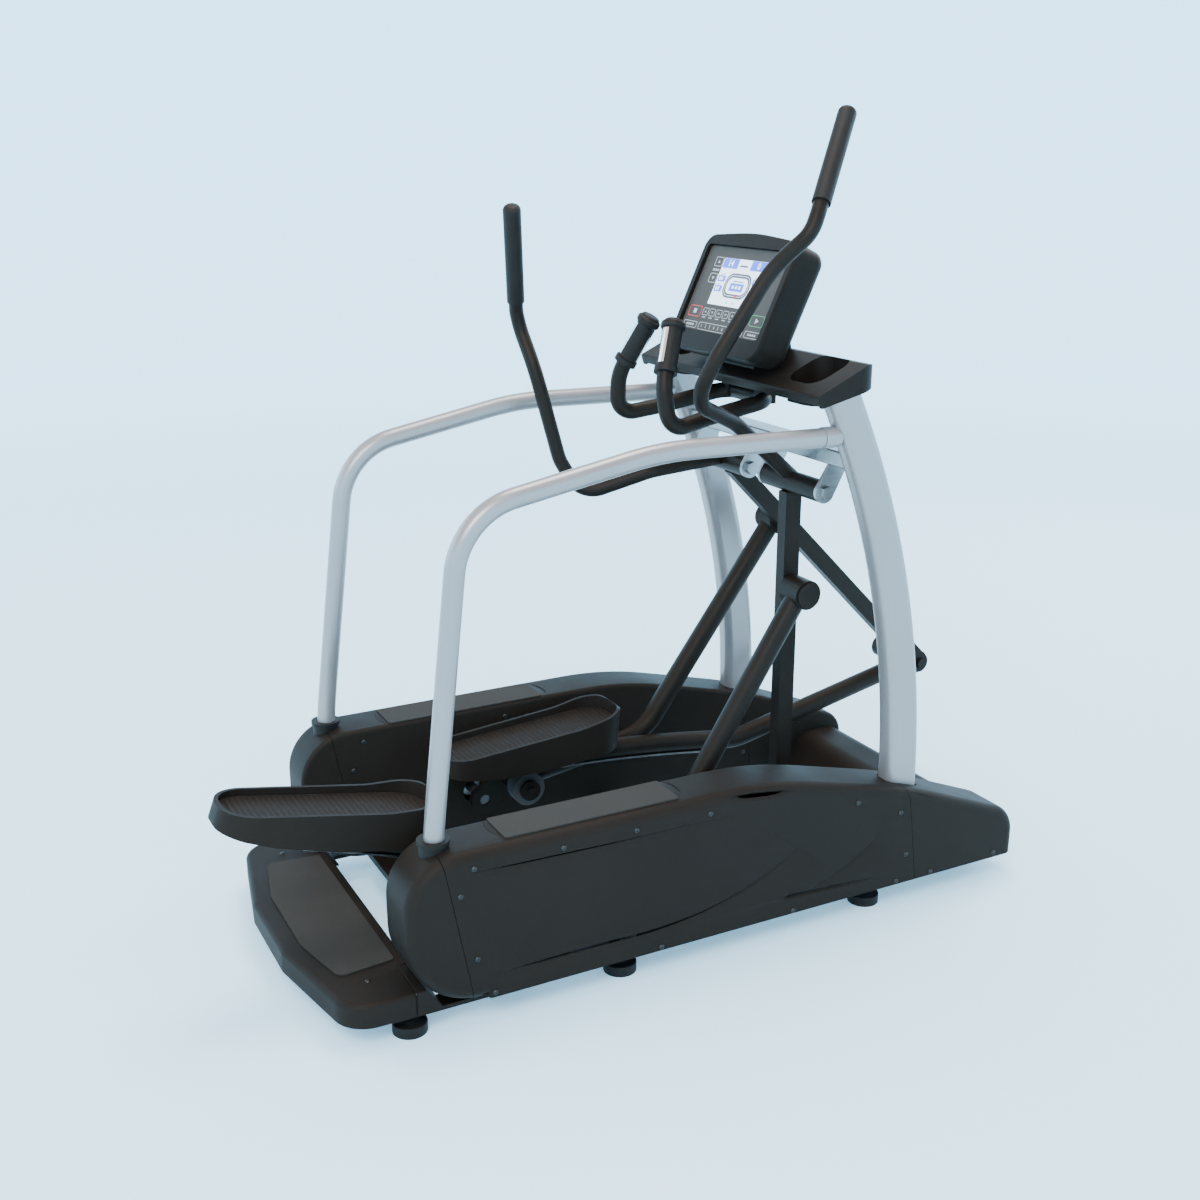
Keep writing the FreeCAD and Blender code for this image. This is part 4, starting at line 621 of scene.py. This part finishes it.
def contact_strips():
    """Two bright strips along each pulse grip, one under the palm and one under the fingers."""
    bm = bmesh.new()
    arcs = 8
    for side in SIDES.values():
        top = Vector((DATUM + GRIP_TOP[0], side * GRIP_TOP[1], GRIP_TOP[2]))
        foot = Vector((DATUM + GRIP_FOOT[0], side * GRIP_FOOT[1], GRIP_FOOT[2]))
        axis = (top - foot).normalized()
        start = top - axis * GRIP_LENGTH
        for x, y in STRIP_FACING:
            facing = Vector((x, side * y, 0.0))
            facing = (facing - axis * facing.dot(axis)).normalized()
            across = axis.cross(facing)
            rings = []
            for distance in (STRIP_START, STRIP_END):
                outline = [(STRIP_OUTER, k) for k in range(arcs + 1)]
                outline += [(STRIP_INNER, arcs - k) for k in range(arcs + 1)]
                ring = []
                for radius, k in outline:
                    angle = STRIP_HALF_ANGLE * (2 * k / arcs - 1)
                    ring.append(bm.verts.new((start + axis * distance + facing * radius * math.cos(angle)
                                              + across * radius * math.sin(angle)) * MM))
                rings.append(ring)
            count = len(rings[0])
            for k in range(count):
                after = (k + 1) % count
                bm.faces.new((rings[0][k], rings[0][after], rings[1][after], rings[1][k]))
            bm.faces.new(rings[0][::-1])
            bm.faces.new(rings[1])
    piece("contact_strips", mesh_of("contact_strips", bm, 30.0), "frame", "sensor_chrome",
          replaces=("pulse_sensors",))


contact_strips()


# ---------------------------------------------------------------- console face

CONSOLE = Vector((267.36, 0.0, 1343.0))
TILT = math.radians(24.8)
ACROSS = Vector((0.0, -1.0, 0.0))
UP_PANEL = Vector((math.sin(TILT), 0.0, math.cos(TILT)))
OUT = Vector((-math.cos(TILT), 0.0, math.sin(TILT)))


def on_panel(u, v, w):
    return (CONSOLE + ACROSS * u + UP_PANEL * v + OUT * w) * MM


def round_rect(u, v, half_u, half_v, corner, steps=5):
    """Outline of a rectangle with round corners, as (u, v) pairs."""
    points = []
    for k, (su, sv) in enumerate(((1, 1), (-1, 1), (-1, -1), (1, -1))):
        for step in range(steps + 1):
            angle = math.pi / 2 * (k + step / steps)
            points.append((u + su * (half_u - corner) + corner * math.cos(angle),
                           v + sv * (half_v - corner) + corner * math.sin(angle)))
    return points


class Print:
    """Thin raised print of one colour on the console face."""

    def __init__(self):
        self.bm = bmesh.new()

    def solid(self, outline, low, high):
        base = [self.bm.verts.new(on_panel(u, v, low)) for u, v in outline]
        top = [self.bm.verts.new(on_panel(u, v, high)) for u, v in outline]
        self.bm.faces.new(top)
        self.bm.faces.new(base[::-1])
        count = len(outline)
        for k in range(count):
            self.bm.faces.new((base[k], base[(k + 1) % count], top[(k + 1) % count], top[k]))

    def ring(self, outer, inner, low, high):
        loops = [[self.bm.verts.new(on_panel(u, v, w)) for u, v in outline]
                 for outline, w in ((outer, low), (outer, high), (inner, high), (inner, low))]
        count = len(outer)
        for a, b in zip(loops, loops[1:] + loops[:1]):
            for k in range(count):
                self.bm.faces.new((a[k], a[(k + 1) % count], b[(k + 1) % count], b[k]))

    def frame(self, u, v, half_u, half_v, corner, line, low, high):
        self.ring(round_rect(u, v, half_u, half_v, corner),
                  round_rect(u, v, half_u - line, half_v - line, max(corner - line, 0.3)), low, high)

    def number(self, text, u, v, size, low, high):
        """Digits set in Blender's own font."""
        curve = bpy.data.curves.new("digits", "FONT")
        curve.body, curve.size, curve.align_x, curve.align_y = text, size, "CENTER", "CENTER"
        curve.extrude = (high - low) / 2
        curve.resolution_u = 3
        obj = bpy.data.objects.new("digits", curve)
        bpy.context.scene.collection.objects.link(obj)
        bpy.context.view_layer.update()
        mesh = bpy.data.meshes.new_from_object(obj.evaluated_get(bpy.context.evaluated_depsgraph_get()))
        for vert in mesh.vertices:
            vert.co = on_panel(u + vert.co.x, v + vert.co.y, (low + high) / 2 + vert.co.z)
        self.bm.from_mesh(mesh)
        bpy.data.objects.remove(obj)
        bpy.data.curves.remove(curve)
        bpy.data.meshes.remove(mesh)

    def done(self, name, slot, material):
        piece(name, mesh_of(name, self.bm, 30.0), "frame", slot, FINISHES[material])


def console_face():
    """Keys and display graphics: outlines, arrows and digits only."""
    panel_low, panel_high = 0.02, 0.45
    glass_low, glass_high = 1.62, 1.85
    digit_low, digit_high = glass_high + 0.02, glass_high + 0.2
    pale, red, green = Print(), Print(), Print()
    blue, dark, white = Print(), Print(), Print()
    # keys
    for v, sign in ((62, 1), (24, -1)):
        pale.frame(-106, v, 15, 11, 4, 1.3, panel_low, panel_high)
        arrow = [(-111, v - 3 * sign), (-101, v - 3 * sign), (-106, v + 4 * sign)]
        pale.solid(arrow[::sign], panel_low, panel_high)
    for u in (-115, -106, -97):
        pale.solid(round_rect(u, 43, 3.2, 2.6, 0.8, 2), panel_low, panel_high)
    red.frame(-124, -55, 25, 12.5, 5, 1.5, panel_low, panel_high)
    pale.solid(round_rect(-124, -55, 6, 5, 1, 2), panel_low, panel_high)
    green.frame(124, -55, 25, 12.5, 5, 1.5, panel_low, panel_high)
    pale.solid([(118, -61), (118, -49), (130, -55)], panel_low, panel_high)
    for u in (-124, 124):
        pale.frame(u, -86, 27, 7.5, 3.5, 1.2, panel_low, panel_high)
        for shift in (-12, -4, 4, 12):
            pale.solid(round_rect(u + shift, -86, 2.8, 2.2, 0.8, 2), panel_low, panel_high)
    for k in range(7):
        u = -81 + 27 * k
        pale.frame(u, -53, 11, 8.5, 3, 1.1, panel_low, panel_high)
        if k % 2:
            pale.solid([(u - 3.5, -51), (u + 3.5, -51), (u, -56)][::-1], panel_low, panel_high)
        else:
            pale.solid([(u - 3.5, -55), (u + 3.5, -55), (u, -50)], panel_low, panel_high)
        pale.solid(round_rect(u, -66, 7, 1.0, 0.4, 2), panel_low, panel_high)
    pale.frame(0, -86, 88, 8.5, 3.5, 1.2, panel_low, panel_high)
    for k in range(10):
        pale.number(str((k + 1) % 10), -76 + 17 * k, -86, 11, panel_low, panel_high)
    # display
    for u, number in ((-54, "14"), (56, "0")):
        blue.solid(round_rect(u, 60.5, 30, 11, 2), glass_low, glass_high)
        white.number(number, u, 60.5, 22, digit_low, digit_high)
    for side in (-1, 1):
        for v in (25, 2):
            blue.solid(round_rect(side * 68, v, 14, 7, 1.5, 3), glass_low, glass_high)
            for shift in (-6, 2):
                white.solid(round_rect(side * 68 + shift, v, 2.5, 4, 0.8, 2), digit_low, digit_high)
            pale.solid(round_rect(side * 68, v + 10, 9, 1.0, 0.4, 2), glass_low, glass_high)
    dark.ring(round_rect(1, 12, 50, 28, 24, 10), round_rect(1, 12, 40, 18.5, 17, 10),
              glass_low, glass_high)
    white.frame(1, 12, 45.4, 23.6, 20.6, 0.8, glass_high + 0.02, glass_high + 0.15)
    blue.solid(round_rect(1, 9, 26, 9, 1.5, 3), glass_low, glass_high)
    for shift in (-13, 0, 13):
        white.solid(round_rect(1 + shift, 9, 3.4, 3.6, 0.8, 2), digit_low, digit_high)
    dark.solid(round_rect(1, 22, 20, 1.0, 0.4, 2), glass_low, glass_high)
    dark.solid(round_rect(0, 57, 15, 2.0, 0.8, 2), glass_low, glass_high)
    red.solid(round_rect(12, -11.3, 4.5, 3.0, 0.8, 2), digit_low, digit_high)
    for u in (-14, 12):
        dark.solid(round_rect(u, -27, 2.2, 2.2, 2.1, 4), glass_low, glass_high)
    pale.done("panel_print", "key_panel", "print_pale")
    red.done("stop_key_outline", "key_panel", "print_red")
    green.done("start_key_outline", "key_panel", "print_green")
    blue.done("display_fields", "display", "print_blue")
    dark.done("display_track", "display", "print_dark")
    white.done("display_digits", "display", "print_white")


console_face()


# ---------------------------------------------------------------- camera, floor and light

CAMERA_PLACE = Vector((-1.45744, -2.6754, 1.6313))
CAMERA_YAW, CAMERA_PITCH = math.radians(27.56), math.radians(17.27)

camera_data = bpy.data.cameras.new("camera")
camera_data.lens, camera_data.sensor_width = 43.22, 36.0
camera = bpy.data.objects.new("camera", camera_data)
bpy.context.scene.collection.objects.link(camera)
look = Vector((math.sin(CAMERA_YAW) * math.cos(CAMERA_PITCH),
               math.cos(CAMERA_YAW) * math.cos(CAMERA_PITCH), -math.sin(CAMERA_PITCH)))
camera.location = CAMERA_PLACE
camera.rotation_euler = look.to_track_quat("-Z", "Y").to_euler()
bpy.context.scene.camera = camera


# the floor is flat out to FLOOR_FLAT metres, then rises; its glow grows over GLOW_REACH
FLOOR_RADIUS, FLOOR_FLAT, FLOOR_RISE = 14.0, 9.0, 0.28
FLOOR_TONES = ((0.62, 0.83, 0.96, 1.0), (0.64, 0.85, 0.98, 1.0))
GLOW_COLOUR = (0.36, 0.74, 1.0, 1.0)
GLOW_REACH, GLOW_STRENGTH = (1.0, 7.0), (0.5, 1.9)


def studio_floor():
    """A pale sheet that curves up far behind the machine and glows more with distance from it."""
    material, tree, shader = node_set("studio_floor")
    place = add(tree, "ShaderNodeTexCoord")
    noise = add(tree, "ShaderNodeTexNoise", Scale=1.2, Detail=2.0)
    tree.links.new(place.outputs["Object"], noise.inputs["Vector"])
    tone = add(tree, "ShaderNodeValToRGB")
    for stop, colour in zip(tone.color_ramp.elements, FLOOR_TONES):
        stop.color = colour
    tree.links.new(noise.outputs["Fac"], tone.inputs["Fac"])
    tree.links.new(tone.outputs["Color"], shader.inputs["Base Color"])
    shader.inputs["Roughness"].default_value = 0.9
    shader.inputs["Specular IOR Level"].default_value = 0.1
    shader.inputs["Emission Color"].default_value = GLOW_COLOUR
    reach = add(tree, "ShaderNodeVectorMath", operation="LENGTH")
    tree.links.new(place.outputs["Object"], reach.inputs[0])
    tree.links.new(remap(tree, reach.outputs["Value"], GLOW_REACH, GLOW_STRENGTH),
                   shader.inputs["Emission Strength"])
    bm = bmesh.new()
    steps, sides = 48, 72
    rings = []
    for step in range(1, steps + 1):
        radius = FLOOR_RADIUS * step / steps
        beyond = max(0.0, radius - FLOOR_FLAT)
        height = FLOOR_RISE * beyond * beyond
        rings.append([bm.verts.new((radius * math.cos(2 * math.pi * k / sides),
                                    radius * math.sin(2 * math.pi * k / sides), height))
                      for k in range(sides)])
    for low, high in zip(rings, rings[1:]):
        for k in range(sides):
            bm.faces.new((low[k], low[(k + 1) % sides], high[(k + 1) % sides], high[k]))
    bm.faces.new(rings[0])
    obj = bpy.data.objects.new("studio_floor", mesh_of("studio_floor", bm))
    bpy.context.scene.collection.objects.link(obj)
    paint(obj, material)


# name, place, point it faces, diameter and power
LIGHTS = (("key_light", (-2.8, -3.2, 4.4), (0.0, 0.0, 0.7), 2.6, 260.0),
          ("fill_light", (-3.4, 2.6, 2.6), (0.0, 0.0, 0.8), 3.0, 50.0),
          ("top_light", (0.6, 0.4, 4.6), (0.1, 0.0, 0.5), 2.2, 140.0),
          ("rim_light", (4.0, 1.0, 2.6), (0.2, 0.0, 0.8), 2.4, 60.0))
WORLD_COLOUR, WORLD_STRENGTH = (1.0, 1.0, 1.0, 1.0), 1.35


def area_light(name, place, target, size, power):
    data = bpy.data.lights.new(name, "AREA")
    data.shape, data.size, data.energy = "DISK", size, power
    lamp = bpy.data.objects.new(name, data)
    bpy.context.scene.collection.objects.link(lamp)
    lamp.location = place
    lamp.rotation_euler = (Vector(target) - Vector(place)).to_track_quat("-Z", "Y").to_euler()


studio_floor()
for light in LIGHTS:
    area_light(*light)
world = bpy.data.worlds.new("studio")
bpy.context.scene.world = world
world.use_nodes = True
world.node_tree.nodes["Background"].inputs["Color"].default_value = WORLD_COLOUR
world.node_tree.nodes["Background"].inputs["Strength"].default_value = WORLD_STRENGTH
